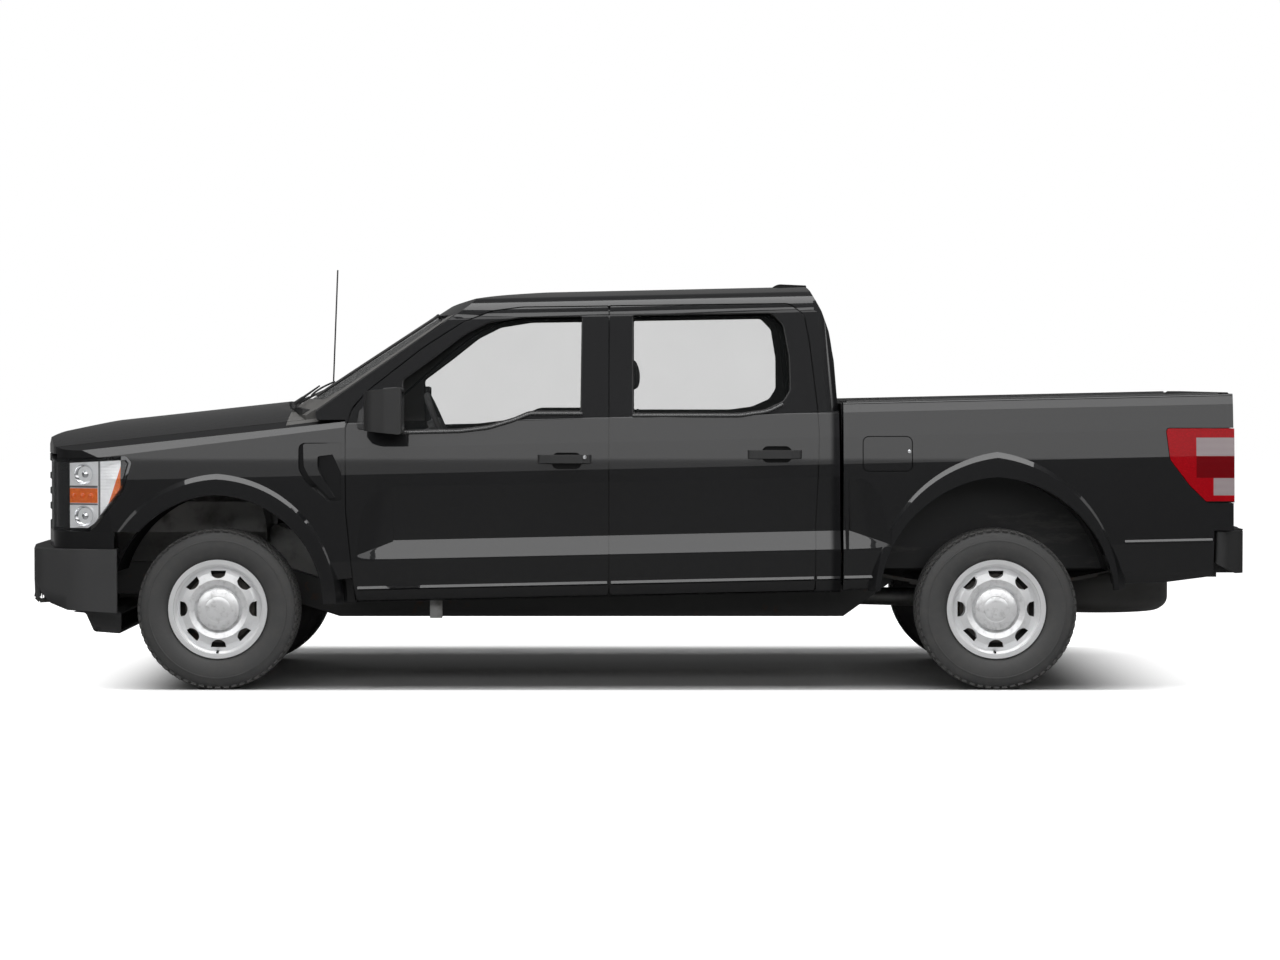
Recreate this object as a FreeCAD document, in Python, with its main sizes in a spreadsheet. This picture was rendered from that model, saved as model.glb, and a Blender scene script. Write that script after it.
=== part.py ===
import FreeCAD, Part
import Sketcher
import math
import os

# Crew-cab pickup truck, built as a document of separate pieces.
# X runs rearwards, Y to the vehicle's right and Z up, in millimetres. The origin is on the ground,
# at the middle of the overall length and width, so the front of the truck is at low X.
Vector = FreeCAD.Vector
doc = FreeCAD.newDocument("Pickup")

# Driving dimensions, in millimetres unless a name says share, slope, deg or count
SIZES = [
    # Whole vehicle
    ("overall_length", 5885),
    ("front_overhang", 960),
    ("wheelbase", 3694),
    ("front_track", 1725),
    ("rear_track", 1735),
    ("rake_slope", 0.022),
    ("panel_gap", 5),
    ("seat_gap", 0.3),
    ("cut_margin", 60),
    # Wheels and tyres
    ("tyre_diameter", 764),
    ("tyre_width", 245),
    ("tread_width", 196),
    ("bead_diameter", 438),
    ("rim_flange_diameter", 470),
    ("rim_half_width", 102),
    ("rim_wall", 7),
    ("wheel_window_count", 8),
    ("wheel_window_radius", 164),
    ("wheel_window_height", 36),
    ("wheel_window_width", 74),
    ("cap_diameter", 202),
    ("hub_bore_diameter", 60),
    ("brake_disc_diameter", 330),
    # Body side section, half widths and heights at the middle of the truck
    ("rocker_half_width", 932),
    ("rocker_z", 446),
    ("sill_half_width", 978),
    ("sill_line_z", 506),
    ("band_half_width", 1003),
    ("band_low_z", 640),
    ("waist_half_width", 974),
    ("band_top_z", 735),
    ("crease_half_width", 988),
    ("crease_z", 1050),
    ("shoulder_half_width", 977),
    ("shoulder_z", 1178),
    ("belt_half_width", 958),
    ("belt_z", 1300),
    ("flare_half_width", 1015),
    # Cab
    ("cab_rear_x", 975),
    ("cab_floor_z", 520),
    ("door_thickness", 130),
    ("frame_thickness", 52),
    ("skin_thickness", 12),
    ("tumblehome_slope", 0.364),
    ("roof_edge_half_width", 690),
    ("roof_edge_drop", 38),
    ("rail_drop", 100),
    ("roof_crown_z", 1914),
    ("windscreen_base_x", -1673),
    ("windscreen_base_z", 1345),
    ("windscreen_slope", 0.643),
    ("windscreen_bow_radius", 4147),
    ("windscreen_depth", 60),
    ("glass_thickness", 6),
    ("glass_inset", 8),
    ("cab_corner_radius", 70),
    # Doors
    ("front_door_x0", -1372),
    ("front_door_x1", -129),
    ("rear_door_x1", 867),
    ("door_bottom_z", 452),
    ("door_top_z", 1833),
    ("door_flange", 50),
    ("door_top_flange", 30),
    ("door_setback", 22),
    # Bonnet and front wings
    ("hood_rear_x", -1725),
    ("hood_rear_bow", 110),
    ("hood_half_width", 866),
    ("hood_edge_z", 1270),
    ("hood_edge_x", -1673),
    ("hood_edge_slope", 0.1096),
    ("fender_wall", 28),
    ("nose_x", -2888),
    # Lamps, grille, bumpers
    ("grille_half_width", 660),
    ("grille_low_z", 742),
    ("grille_top_z", 1112),
    ("grille_bar_count", 4),
    ("grille_depth", 70),
    ("bumper_top_z", 668),
    ("bumper_low_z", 372),
    ("bumper_wall", 26),
    ("bumper_shelf", 120),
    ("rear_bumper_top_z", 752),
    ("rear_bumper_low_z", 552),
    ("ball_hole_radius", 13),
    # Cargo box
    ("bed_x0", 985),
    ("bed_x1", 2830),
    ("bed_rail_z", 1342),
    ("bed_floor_z", 800),
    ("bed_inner_half_width", 826),
    ("wheelhouse_half_width", 642),
    ("bed_panel_thickness", 20),
    ("floor_rib_count", 9),
    ("floor_rib_height", 12),
    ("flap_thickness", 26),
    ("tailgate_thickness", 62),
    ("tailgate_half_width", 782),
    ("tailgate_pin_radius", 11),
    # Wheel arches, from the wheel centre
    ("front_arch_rise", 543),
    ("front_arch_reach", 502),
    ("rear_arch_rise", 628),
    ("rear_arch_reach", 555),
    ("front_flare_rise", 664),
    ("front_flare_reach", 598),
    ("rear_flare_rise", 766),
    ("rear_flare_reach", 608),
    ("liner_wall", 8),
    ("liner_half_width", 560),
    # Chassis
    ("rail_half_gap", 415),
    ("rail_width", 70),
    ("rail_height", 155),
    ("rail_front_z", 505),
    ("rail_mid_z", 395),
    ("rail_rear_z", 618),
    ("axle_tube_radius", 42),
    ("differential_radius", 150),
    ("leaf_width", 64),
    ("leaf_thickness", 9),
    ("leaf_count", 4),
    ("leaf_half_span", 680),
    ("leaf_camber", 95),
    ("spring_half_gap", 520),
    # Steering wheel
    ("steering_wheel_radius", 185),
    ("steering_grip_radius", 15),
]

sheet = doc.addObject("Spreadsheet::Sheet", "dims")
for row, (alias, number) in enumerate(SIZES, start=1):
    sheet.set(f"A{row}", alias)
    sheet.set(f"B{row}", str(number))
    sheet.setAlias(f"B{row}", alias)
doc.recompute()


class Dims:
    """The sheet's values as attributes."""

    def __getattr__(self, alias):
        return float(sheet.get(alias))


d = Dims()

# Places that follow from the driving dimensions
nose_end_x = -d.overall_length / 2
tail_end_x = d.overall_length / 2
front_axle_x = nose_end_x + d.front_overhang
rear_axle_x = front_axle_x + d.wheelbase
axle_z = d.tyre_diameter / 2
# Cuts reach this far past the widest skin
beyond_y = d.band_half_width + 200

pieces = {}


def keep(name, item):
    """Names a finished sub-part, whose label is also the name of its file."""
    item.Label = name
    pieces[name] = item
    return item


def place_shape(name, shape, label=None):
    """A feature that carries a worked-out shape, and its placement."""
    item = doc.addObject("Part::Feature", name)
    item.Shape = shape
    item.Placement = shape.Placement
    if label:
        keep(label, item)
    return item


def evaluate(expression):
    return float(sheet.evalExpression(str(expression)))


def box(name, corner, size):
    """A bound box: its corner and its size are expressions on the sheet."""
    item = doc.addObject("Part::Box", name)
    for prop, value in zip(("Length", "Width", "Height"), size):
        item.setExpression(prop, str(value))
    for axis, value in zip("xyz", corner):
        item.setExpression(f"Placement.Base.{axis}", str(value))
    return item


ROUND_TURNS = {"x": ((0, 1, 0), 90), "y": ((1, 0, 0), -90), "z": ((0, 0, 1), 0)}


def rod(name, axis, start, radius, length):
    """A bound cylinder that runs from its start towards +axis."""
    item = doc.addObject("Part::Cylinder", name)
    turn, angle = ROUND_TURNS[axis]
    item.Placement = FreeCAD.Placement(Vector(), FreeCAD.Rotation(Vector(*turn), angle))
    item.setExpression("Radius", str(radius))
    item.setExpression("Height", str(length))
    for letter, value in zip("xyz", start):
        item.setExpression(f"Placement.Base.{letter}", str(value))
    return item


def fuse(name, parts, label=None):
    item = doc.addObject("Part::MultiFuse", name)
    item.Shapes = parts
    if label:
        keep(label, item)
    return item


def cut(name, base, tool, label=None):
    item = doc.addObject("Part::Cut", name)
    item.Base = base
    item.Tool = tool
    if label:
        keep(label, item)
    return item


def mirror(name, source, label=None):
    """The same piece on the other side of the centreline."""
    item = doc.addObject("Part::Mirroring", name)
    item.Source = source
    item.Normal = Vector(0, 1, 0)
    item.Base = Vector()
    if label:
        keep(label, item)
    return item


def origin_plane(body, role):
    return next(item for item in body.Origin.OriginFeatures if item.Role == role)


def new_sketch(body, name, role="XZ_Plane"):
    sketch = body.newObject("Sketcher::SketchObject", name)
    sketch.AttachmentSupport = [(origin_plane(body, role), "")]
    sketch.MapMode = "FlatFace"
    return sketch


def bind(sketch, constraint, expression):
    index = sketch.addConstraint(constraint)
    sketch.setExpression(f"Constraints[{index}]", str(expression))


def outline(sketch, corners):
    """A closed outline whose corners are pairs of expressions, each one bound to the sheet."""
    values = [(evaluate(across), evaluate(up)) for across, up in corners]
    first = sketch.GeometryCount
    count = len(values)
    for index in range(count):
        here = Vector(*values[index], 0)
        there = Vector(*values[(index + 1) % count], 0)
        sketch.addGeometry(Part.LineSegment(here, there), False)
    for index in range(count):
        following = first + (index + 1) % count
        sketch.addConstraint(Sketcher.Constraint("Coincident", first + index, 2, following, 1))
    for index, (across, up) in enumerate(corners):
        across_value, up_value = values[index]
        edge = first + index
        bind(sketch, Sketcher.Constraint("DistanceX", -1, 1, edge, 1, across_value), across)
        bind(sketch, Sketcher.Constraint("DistanceY", -1, 1, edge, 1, up_value), up)


def padded(name, role, corners, length, middle=False):
    """A body with one outline padded by a bound length."""
    body = doc.addObject("PartDesign::Body", name)
    sketch = new_sketch(body, name + "Sketch", role)
    outline(sketch, corners)
    pad = body.newObject("PartDesign::Pad", name + "Pad")
    pad.Profile = sketch
    pad.setExpression("Length", str(length))
    pad.Midplane = middle
    return body


def turned(name, corners, role="XZ_Plane", axis="H_Axis"):
    """A body turned from a half profile about one of its sketch's axes."""
    body = doc.addObject("PartDesign::Body", name)
    sketch = new_sketch(body, name + "Sketch", role)
    outline(sketch, corners)
    turn = body.newObject("PartDesign::Revolution", name + "Turn")
    turn.Profile = sketch
    turn.ReferenceAxis = (sketch, [axis])
    turn.Angle = 360
    return body


STRAIGHT_SHARE = 0.001

# Free outlines in space. A corner is (across, up, radius) and place() puts it in the truck.


def rounded_edges(corners, place):
    spans = []
    count = len(corners)
    for index, (across, up, radius) in enumerate(corners):
        point = Vector(across, up, 0)
        before = Vector(*corners[index - 1][:2], 0) - point
        after = Vector(*corners[(index + 1) % count][:2], 0) - point
        before.normalize()
        after.normalize()
        middle_way = before + after
        if not radius or middle_way.Length < STRAIGHT_SHARE:
            spans.append((point, point, point))
            continue
        half = before.getAngle(after) / 2
        middle_way.normalize()
        reach = radius / math.tan(half)
        middle = point + middle_way * (radius / math.sin(half) - radius)
        spans.append((point + before * reach, middle, point + after * reach))
    edges = []
    for index, (start, middle, end) in enumerate(spans):
        following = spans[(index + 1) % count][0]
        if (end - start).Length:
            edges.append(Part.Arc(place(start), place(middle), place(end)).toShape())
        if (following - end).Length > Part.Vertex(start).Tolerance:
            edges.append(Part.LineSegment(place(end), place(following)).toShape())
    return edges


def side_place(y):
    return lambda point: Vector(point.x, y, point.y)


def plan_place(z):
    return lambda point: Vector(point.x, point.y, z)


def front_place(x):
    return lambda point: Vector(x, point.x, point.y)


def side_prism(corners, y0, y1):
    """An outline in side view, carried across the truck from y0 to y1."""
    face = Part.Face(Part.Wire(rounded_edges(corners, side_place(y0))))
    return face.extrude(Vector(0, y1 - y0, 0))


def plan_prism(corners, z0, z1):
    face = Part.Face(Part.Wire(rounded_edges(corners, plan_place(z0))))
    return face.extrude(Vector(0, 0, z1 - z0))


def front_prism(corners, x0, x1, rise=0):
    """An outline in front view, carried along the truck, where rise lifts its far end."""
    face = Part.Face(Part.Wire(rounded_edges(corners, front_place(x0))))
    return face.extrude(Vector(x1 - x0, 0, rise))


def block(x0, x1, y0, y1, z0, z1):
    return Part.makeBox(x1 - x0, y1 - y0, z1 - z0, Vector(x0, y0, z0))


def raked(x, z):
    """A height given at the middle of the truck, carried along the body's rake."""
    return z + d.rake_slope * x


def flipped(shape):
    return shape.mirror(Vector(), Vector(0, 1, 0))


def joined(shapes):
    """One shape from several that overlap."""
    return shapes[0].fuse(shapes[1:]).removeSplitter()


def trimmed(shape, tools):
    for tool in tools:
        shape = shape.cut(tool)
    return shape


def largest(shape):
    return max(shape.Solids, key=lambda solid: solid.Volume)


# Body volumes. Each is asked for at an inset from the outer skin, so that a skin, a door frame
# and the room behind them all follow the same curves.

big = d.overall_length
SIDE_RADIUS = 24
BELT_RADIUS = 8


def body_half(inset=0, foot=0):
    """The half section of cab and box below the belt, from the foot up, at the middle of the truck."""
    return [
        (0, d.rocker_z - 8 + inset + foot, 0),
        (d.rocker_half_width - 52 - inset, d.rocker_z - 8 + inset + foot, 0),
        (d.rocker_half_width - inset, d.rocker_z + inset + foot, 12),
        (d.sill_half_width - inset, d.sill_line_z + inset + foot, SIDE_RADIUS),
        (d.band_half_width - inset, d.band_low_z, SIDE_RADIUS),
        (d.crease_half_width - inset, d.crease_z, 40),
        (d.shoulder_half_width - inset, d.shoulder_z, 40),
        (d.belt_half_width - inset, d.belt_z - 8, BELT_RADIUS),
        (d.belt_half_width - 14 - inset, d.belt_z, 0),
        (0, d.belt_z, 0),
    ]


def left_of(half_corners):
    """A half section laid out on the left of the centreline."""
    return [(-across, up, radius) for across, up, radius in half_corners]


# The roof's fall ahead of the seats in side view, and everything above it
ROOF_FRONT = [
    (-2000, 1330, 0),
    (-1250, 1695, 900),
    (-960, 1819, 900),
    (-700, 1876, 1500),
    (-330, 1912, 1500),
    (200, 1960, 0),
    (200, 2200, 0),
    (-2000, 2200, 0),
]


def leaned(shape):
    """Tips a level shape onto the body's rake."""
    turn = FreeCAD.Rotation(Vector(0, 1, 0), -math.degrees(math.atan(d.rake_slope)))
    tipped = shape.copy()
    tipped.Placement = FreeCAD.Placement(Vector(), turn)
    return tipped


def raked_bar(corners, x0, x1):
    """A section given at the middle of the truck and carried along its rake from x0 to x1."""
    return leaned(front_prism(corners, x0, x1))


def greenhouse(inset):
    """The left half of the form above the belt: a leaning side, a rounded rail and a crowned roof."""
    side = d.belt_half_width - 8 - inset
    top_z = d.roof_crown_z - inset
    edge_z = top_z - d.roof_edge_drop
    rail_z = edge_z - d.rail_drop
    rail_y = side - (rail_z - d.belt_z) * d.tumblehome_slope
    edge_y = d.roof_edge_half_width - inset * 0.7
    drop = d.roof_edge_drop
    crown_radius = (edge_y ** 2 + drop ** 2) / (2 * drop)
    half_drop = crown_radius - math.sqrt(crown_radius ** 2 - (edge_y / 2) ** 2)
    x0 = -1800
    low = d.belt_z - 110
    top = Vector(x0, 0, top_z)
    foot = Vector(x0, 0, low)
    sill = Vector(x0, -side, low)
    belt = Vector(x0, -side, d.belt_z)
    rail = Vector(x0, -rail_y, rail_z)
    bend = Vector(x0, -(rail_y + edge_y) / 2 - 16, (rail_z + edge_z) / 2 + 16)
    edge = Vector(x0, -edge_y, edge_z)
    edges = [
        Part.LineSegment(foot, sill),
        Part.LineSegment(sill, belt),
        Part.LineSegment(belt, rail),
        Part.Arc(rail, bend, edge),
        Part.Arc(edge, Vector(x0, -edge_y / 2, top_z - half_drop), top),
        Part.LineSegment(top, foot),
    ]
    face = Part.Face(Part.Wire([item.toShape() for item in edges]))
    bar = leaned(face.extrude(Vector(d.cab_rear_x + 60 - x0, 0, 0)))
    above = [(x, z - inset, radius) for x, z, radius in ROOF_FRONT]
    return bar.cut(side_prism(above, -big / 2, big / 2))


def windscreen_round(inset):
    """All that lies behind the windscreen's bowed surface: a large cylinder along its slope."""
    slope = math.atan(d.windscreen_slope)
    along = Vector(math.cos(slope), 0, math.sin(slope))
    inward = Vector(math.sin(slope), 0, -math.cos(slope))
    base = Vector(d.windscreen_base_x, 0, d.windscreen_base_z)
    centre = base + inward * d.windscreen_bow_radius
    radius = d.windscreen_bow_radius - inset
    return Part.makeCylinder(radius, 3 * big, centre - along * (1.5 * big), along)


def back_profile(inset):
    """The cab's back in side view, from the floor up, with everything behind it."""
    back = d.cab_rear_x - inset
    return [
        (back, 380, 0),
        (back - 10, 1300, 60),
        (back - 27, 1560, 120),
        (back - 50, 1700, 120),
        (back - 85, 1800, 100),
        (back - 135, 1890 - inset, 60),
        (back - 175, 2100, 0),
        (back + 400, 2100, 0),
        (back + 400, 380, 0),
    ]


def corner_tool(inset):
    """Rounds the cab's left rear corner, leaning with its side and its back."""
    radius = d.cab_corner_radius
    reach = 140
    rise = 900
    local = block(-radius, reach, -radius, reach, 0, rise)
    local = local.cut(Part.makeCylinder(radius, rise, Vector(-radius, -radius, 0)))
    side_normal = Vector(0, 1, d.tumblehome_slope)
    back_normal = Vector(1, 0, 0.09)
    upward = back_normal.cross(side_normal)
    turn = FreeCAD.Rotation(back_normal, side_normal, upward, "ZYX")
    corner = Vector(d.cab_rear_x - 8 - inset, d.belt_half_width - 8 - inset, d.belt_z + 24)
    local.Placement = FreeCAD.Placement(corner, turn)
    return flipped(local)


def cab_front_tool(inset):
    """What lies ahead of the toe board and bulkhead in side view."""
    return [
        (-1388 + inset, 300, 0),
        (-1455 + inset, 690, 0),
        (-1478 + inset, 932 + inset, 0),
        (-1684 + inset, 932 + inset, 0),
        (-1684 + inset, 2100, 0),
        (-2600, 2100, 0),
        (-2600, 300, 0),
    ]


def cab_volume(inset=0):
    """The left half of the cab's closed outer form at an inset from the skin."""
    lower = raked_bar(left_of(body_half(inset)), -1800, d.cab_rear_x + 60)
    form = lower.fuse(greenhouse(inset)).common(windscreen_round(inset))
    tools = [
        side_prism(cab_front_tool(inset), -big / 2, big / 2),
        side_prism(back_profile(inset), -big / 2, big / 2),
        corner_tool(inset),
    ]
    return largest(trimmed(form, tools))


def cab_room():
    """The left half of the room inside: within the doors, floor, roof lining and windscreen."""
    inner_y = d.band_half_width - d.door_thickness
    lower = block(-1800, d.cab_rear_x + 40, -inner_y, 0, d.cab_floor_z, d.belt_z - 40)
    form = lower.fuse(greenhouse(d.frame_thickness)).common(windscreen_round(d.windscreen_depth))
    tools = [
        side_prism(cab_front_tool(32), -big / 2, big / 2),
        side_prism(back_profile(46), -big / 2, big / 2),
    ]
    return largest(trimmed(form, tools))


def hollow_section(x, deep_y, deep_z):
    """The outline pressed in between crease and band: lip, deepest line, crest and a point outside."""
    lip = Vector(x, -d.band_half_width - 2, raked(x, d.band_low_z) + 1)
    deep = Vector(x, -deep_y, deep_z)
    crest = Vector(x, -d.crease_half_width - 4, raked(x, d.crease_z - 30))
    far = Vector(x, -d.band_half_width - 70, deep_z + 120)
    return [lip, deep, crest, far]


def left_scallop(x0, x1, fade):
    """The tool that presses the hollow along the left side, with an end that fades out each way."""
    level = [(corner.y, corner.z, 0) for corner in hollow_section(0, d.waist_half_width, d.band_top_z)]
    bar = raked_bar(level, x0, x1)
    parts = [bar]
    for start, stop in ((x0, x0 - fade), (x1, x1 + fade)):
        deep_z = raked(start, d.band_top_z)
        edge_y = d.band_half_width + 1
        near = hollow_section(start, d.waist_half_width, deep_z)
        far = hollow_section(stop, edge_y, raked(stop, d.band_low_z + 24))
        wires = [Part.makePolygon(corners + corners[:1]) for corners in (near, far)]
        parts.append(Part.makeLoft(wires, True, True))
    return parts


left_hollow = left_scallop(-1133, 1010, 200)

cab_skin = cab_volume(0)


def pressed_volume(inset):
    """The cab's form at an inset, with the hollow of its side pressed in as far as the skin's."""
    form = cab_volume(inset)
    for tool in left_hollow:
        moved = tool.copy()
        moved.translate(Vector(0, inset, 0))
        form = form.cut(moved)
    return largest(form)


cab_under_skin = pressed_volume(d.skin_thickness)
cab_under_gap = pressed_volume(d.skin_thickness + d.panel_gap)
cab_inside = cab_room()

# Front end. One closed form gives the bonnet, wings, fascia, grille and headlamps.
NOSE_PLAN = [
    (0, 500, 0),
    (d.nose_x, 500, 0),
    (d.nose_x, 0, 0),
    (d.nose_x + 6, -330, 1500),
    (-2765, -900, 170),
    (-2455, -1010, 600),
    (-2100, -1012, 0),
    (0, -1012, 0),
]


def nose_plan(inset):
    """The front end's plan at an inset, on the left of the centreline."""
    moved = []
    for x, y, radius in NOSE_PLAN:
        moved.append((x + inset if x else x, min(y, 0) + inset if y < -1 else 0, radius))
    return moved[2:] + [(0, 0, 0)]


NOSE_SIDE = [
    (-3100, 1050, 0),
    (d.nose_x - 30, 1050, 0),
    (-2878, 1140, 120),
    (-2806, 1214, 120),
    (-2575, 1268, 900),
    (-2200, 1330, 0),
    (-2200, 1500, 0),
    (-3100, 1500, 0),
]


def clip_volume(inset):
    """The left half of the front end's closed form."""
    half_section = body_half(inset)[:-3] + [
        (d.belt_half_width + 6 - inset, d.belt_z + 20, 0),
        (0, d.belt_z + 120, 0),
    ]
    lower = raked_bar(left_of(half_section), -3100, -1300)
    edge_z = d.hood_edge_z - inset
    crown_z = edge_z + 97
    edge_y = d.hood_half_width
    top = [
        Vector(-3300, 0, 500),
        Vector(-3300, -beyond_y, 500),
        Vector(-3300, -beyond_y, edge_z - 130),
        Vector(-3300, -edge_y - 118 + inset, edge_z - 80),
        Vector(-3300, -edge_y - 84 + inset, edge_z - 30),
        Vector(-3300, -edge_y, edge_z),
    ]
    edges = [Part.LineSegment(a, b).toShape() for a, b in zip(top, top[1:])]
    crown = Vector(-3300, 0, crown_z)
    middle = Vector(-3300, -edge_y / 2, crown_z - 24)
    edges.append(Part.Arc(top[-1], middle, crown).toShape())
    edges.append(Part.LineSegment(crown, top[0]).toShape())
    upper = Part.Face(Part.Wire(edges)).extrude(Vector(2300, 0, 0))
    slope = -math.degrees(math.atan(d.hood_edge_slope))
    upper.rotate(Vector(d.hood_edge_x, 0, d.hood_edge_z), Vector(0, 1, 0), slope)
    plan = plan_prism(nose_plan(inset), 0, 2000)
    above = [(x, z - inset, radius) for x, z, radius in NOSE_SIDE]
    form = lower.common(upper).common(plan)
    return largest(form.cut(side_prism(above, -big / 2, big / 2)))


# Bonnet plan: straight sides, bowed rear edge
def hood_plan(gap):
    side = d.hood_half_width + gap
    rear = d.hood_rear_x + gap
    bow = [Vector(rear, 0, 0), Vector(rear + 45, -side * 0.55, 0)]
    bow.append(Vector(rear + d.hood_rear_bow + 40, -side, 0))
    corners = [Vector(-3200, -side, 0), Vector(-3200, 0, 0)]
    edges = [Part.Arc(*bow).toShape()]
    path = [bow[2]] + corners + [bow[0]]
    for start, stop in zip(path, path[1:]):
        edges.append(Part.LineSegment(start, stop).toShape())
    face = Part.Face(Part.Wire(edges))
    face.translate(Vector(0, 0, 500))
    return face.extrude(Vector(0, 0, 1500))


# Door outlines in side view
door_bottom_front = raked(d.front_door_x0, d.door_bottom_z)
door_bottom_middle = raked(d.front_door_x1, d.door_bottom_z)
door_bottom_rear = raked(850, d.door_bottom_z)


def front_door_outline(gap=0):
    x0 = d.front_door_x0 - gap
    x1 = d.front_door_x1 + gap
    top = d.door_top_z - 12 + gap
    return [
        (x0 + 46, door_bottom_front - gap, 14),
        (x0 + 27, 610, 300),
        (x0 + 2, 850, 300),
        (x0, 1240, 90),
        (x0 + 28, 1329 + gap, 60),
        (-1274 - gap * 0.6, 1415 + gap * 0.8, 300),
        (-1004 - gap * 0.6, 1628 + gap * 0.8, 900),
        (-821 - gap * 0.5, 1745 + gap * 0.9, 260),
        (-683 - gap * 0.3, 1798 + gap, 200),
        (-544, top - 5, 200),
        (x1, top, 10),
        (x1, door_bottom_middle - gap, 14),
    ]


def rear_door_outline(gap=0):
    x0 = d.front_door_x1 + d.panel_gap - gap
    x1 = d.rear_door_x1 + gap
    top = d.door_top_z - 11 + gap
    return [
        (x0, door_bottom_middle - gap, 14),
        (x0, top, 10),
        (734 + gap * 0.4, d.door_top_z + gap, 60),
        (803 + gap * 0.9, 1781 + gap * 0.5, 60),
        (825 + gap, 1664, 500),
        (859 + gap, 1352, 500),
        (x1, 1214, 90),
        (862 + gap, 1008, 300),
        (850 + gap, 778, 300),
        (850 + gap, door_bottom_rear - gap, 14),
    ]


def inset_outline(corners, front, rear, low, top):
    """An outline drawn in by its own amount at each side."""
    xs = [corner[0] for corner in corners]
    zs = [corner[1] for corner in corners]
    middle_x = (min(xs) + max(xs)) / 2
    span = (max(xs) - min(xs)) / 2
    moved = []
    for x, z, radius in corners:
        shift_x = front if x < middle_x else -rear
        if z > 1280:
            shift_x = shift_x * min(1, abs(x - middle_x) / (0.8 * span))
        shift_z = low if z < 1000 and z < min(zs) + 60 else 0
        if z > 1280:
            shift_z = -top * min(1, (z - 1280) / 120)
        moved.append((x + shift_x, z + shift_z, radius))
    return moved


def left_prism(corners, inner=0):
    return side_prism(corners, -big / 2, -inner)


FRONT_WINDOW = [
    (-1111, 1469, 20),
    (-958, 1582, 600),
    (-822, 1688, 300),
    (-706, 1746, 200),
    (-543, 1772, 200),
    (-252, 1776, 12),
    (-256, 1317, 12),
    (-504, 1317, 150),
    (-584, 1283, 150),
    (-699, 1249, 150),
    (-831, 1233, 300),
    (-1111, 1226, 20),
]
REAR_WINDOW = [
    (-17, 1781, 12),
    (652, 1792, 40),
    (709, 1734, 60),
    (736, 1581, 300),
    (739, 1421, 60),
    (704, 1364, 80),
    (612, 1323, 200),
    (496, 1307, 200),
    (-17, 1307, 12),
]


def door_solid(outline_of, window):
    """A left door: its skin over the whole outline, its inner frame set in all round, and its window cut."""
    drawn = outline_of(0)
    centre = d.roof_edge_half_width - d.cut_margin / 2
    setback = d.door_flange + d.door_setback
    inner_outline = inset_outline(drawn, d.door_flange + 8, setback, 110, d.door_top_flange)
    form = cab_skin.common(left_prism(drawn, centre))
    inner_tool = cab_under_skin.cut(left_prism(inner_outline, centre))
    return largest(trimmed(form, [inner_tool, cab_inside, left_prism(window)] + left_hollow))


def door_hole(outline_of):
    """What a door takes out of the cab's shell, with its gaps."""
    drawn = outline_of(0)
    rim = left_prism(outline_of(d.panel_gap)).cut(cab_under_gap)
    inner = inset_outline(drawn, d.door_flange, d.door_flange, 102, d.door_top_flange - 8)
    return [rim, left_prism(inner)]


def shrunk_prism(corners, amount):
    """A left-hand prism whose outline is drawn in evenly."""
    face = Part.Face(Part.Wire(rounded_edges(corners, side_place(0))))
    if amount:
        face = face.makeOffset2D(-amount)
    face.translate(Vector(0, -big / 2, 0))
    return face.extrude(Vector(0, big / 2, 0))


def front_outline_prism(corners, x0, x1, amount):
    """A left-hand prism along the truck whose outline in front view is drawn in evenly."""
    face = Part.Face(Part.Wire(rounded_edges(corners, front_place(x0))))
    if amount:
        face = face.makeOffset2D(-amount)
    left = block(x0 - 1, x1 + 1, -big / 2, 0, 0, big)
    return face.extrude(Vector(x1 - x0, 0, 0)).common(left)


def mirrored_pair(shape):
    return Part.makeCompound([shape, flipped(shape)])


def mirrored_whole(shape):
    """Both halves of a shape that meets the centreline, as one solid."""
    return largest(shape.fuse(flipped(shape)).removeSplitter())


WING_INNER_Y = 868
FENDER_REAR = [
    (d.front_door_x0 - d.panel_gap + 46, 300, 0),
    (d.front_door_x0 - d.panel_gap + 46, door_bottom_front - 10, 14),
    (d.front_door_x0 - d.panel_gap + 27, 610, 300),
    (d.front_door_x0 - d.panel_gap + 2, 850, 300),
    (d.front_door_x0 - d.panel_gap, 1240, 0),
    (d.front_door_x0 - d.panel_gap, 1280, 0),
    (-1512, 1280, 0),
    (-1560, 1500, 0),
    (0, 1500, 0),
    (0, 300, 0),
]

# Cab shell: skin, pillars, floor, bulkhead and roof, with its door holes and window openings
WINDSCREEN_OUTLINE = [(-815, 1376, 60), (815, 1376, 60), (672, 1781, 50), (-672, 1781, 50)]
BACK_WINDOW_OUTLINE = [(-690, 1392, 50), (690, 1392, 50), (620, 1742, 50), (-620, 1742, 50)]


def wing_zone(gap):
    """Where a left wing lies: outboard of the bonnet's side and ahead of the door, grown by a gap."""
    ahead = block(-3200, 0, -beyond_y, -WING_INNER_Y + gap, 0, 2000)
    behind = [(x + gap, z, radius) for x, z, radius in FENDER_REAR]
    return ahead.cut(side_prism(behind, -1300, 100))


def wing_seat():
    """What a left wing takes out of the cab's shell, so that it seats on the pillar."""
    return wing_zone(d.seat_gap).cut(clip_volume(d.fender_wall + d.seat_gap))


# Rubber buffers under the edges of the left doors: front edge of each in side view
BUFFER_X = (-1362, -170, -114, 805)
BUFFER_Z = (900, 960)
BUFFER_LENGTH = 30


def door_buffers():
    """Pads on the shell's flanges that the shut doors rest against with a seating clearance."""
    reach = pressed_volume(d.skin_thickness + d.seat_gap)
    reach = reach.cut(pressed_volume(d.skin_thickness + 2 * d.panel_gap))
    pads = []
    for x in BUFFER_X:
        pads.append(reach.common(block(x, x + BUFFER_LENGTH, -beyond_y, -900, *BUFFER_Z)))
    return pads


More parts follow.
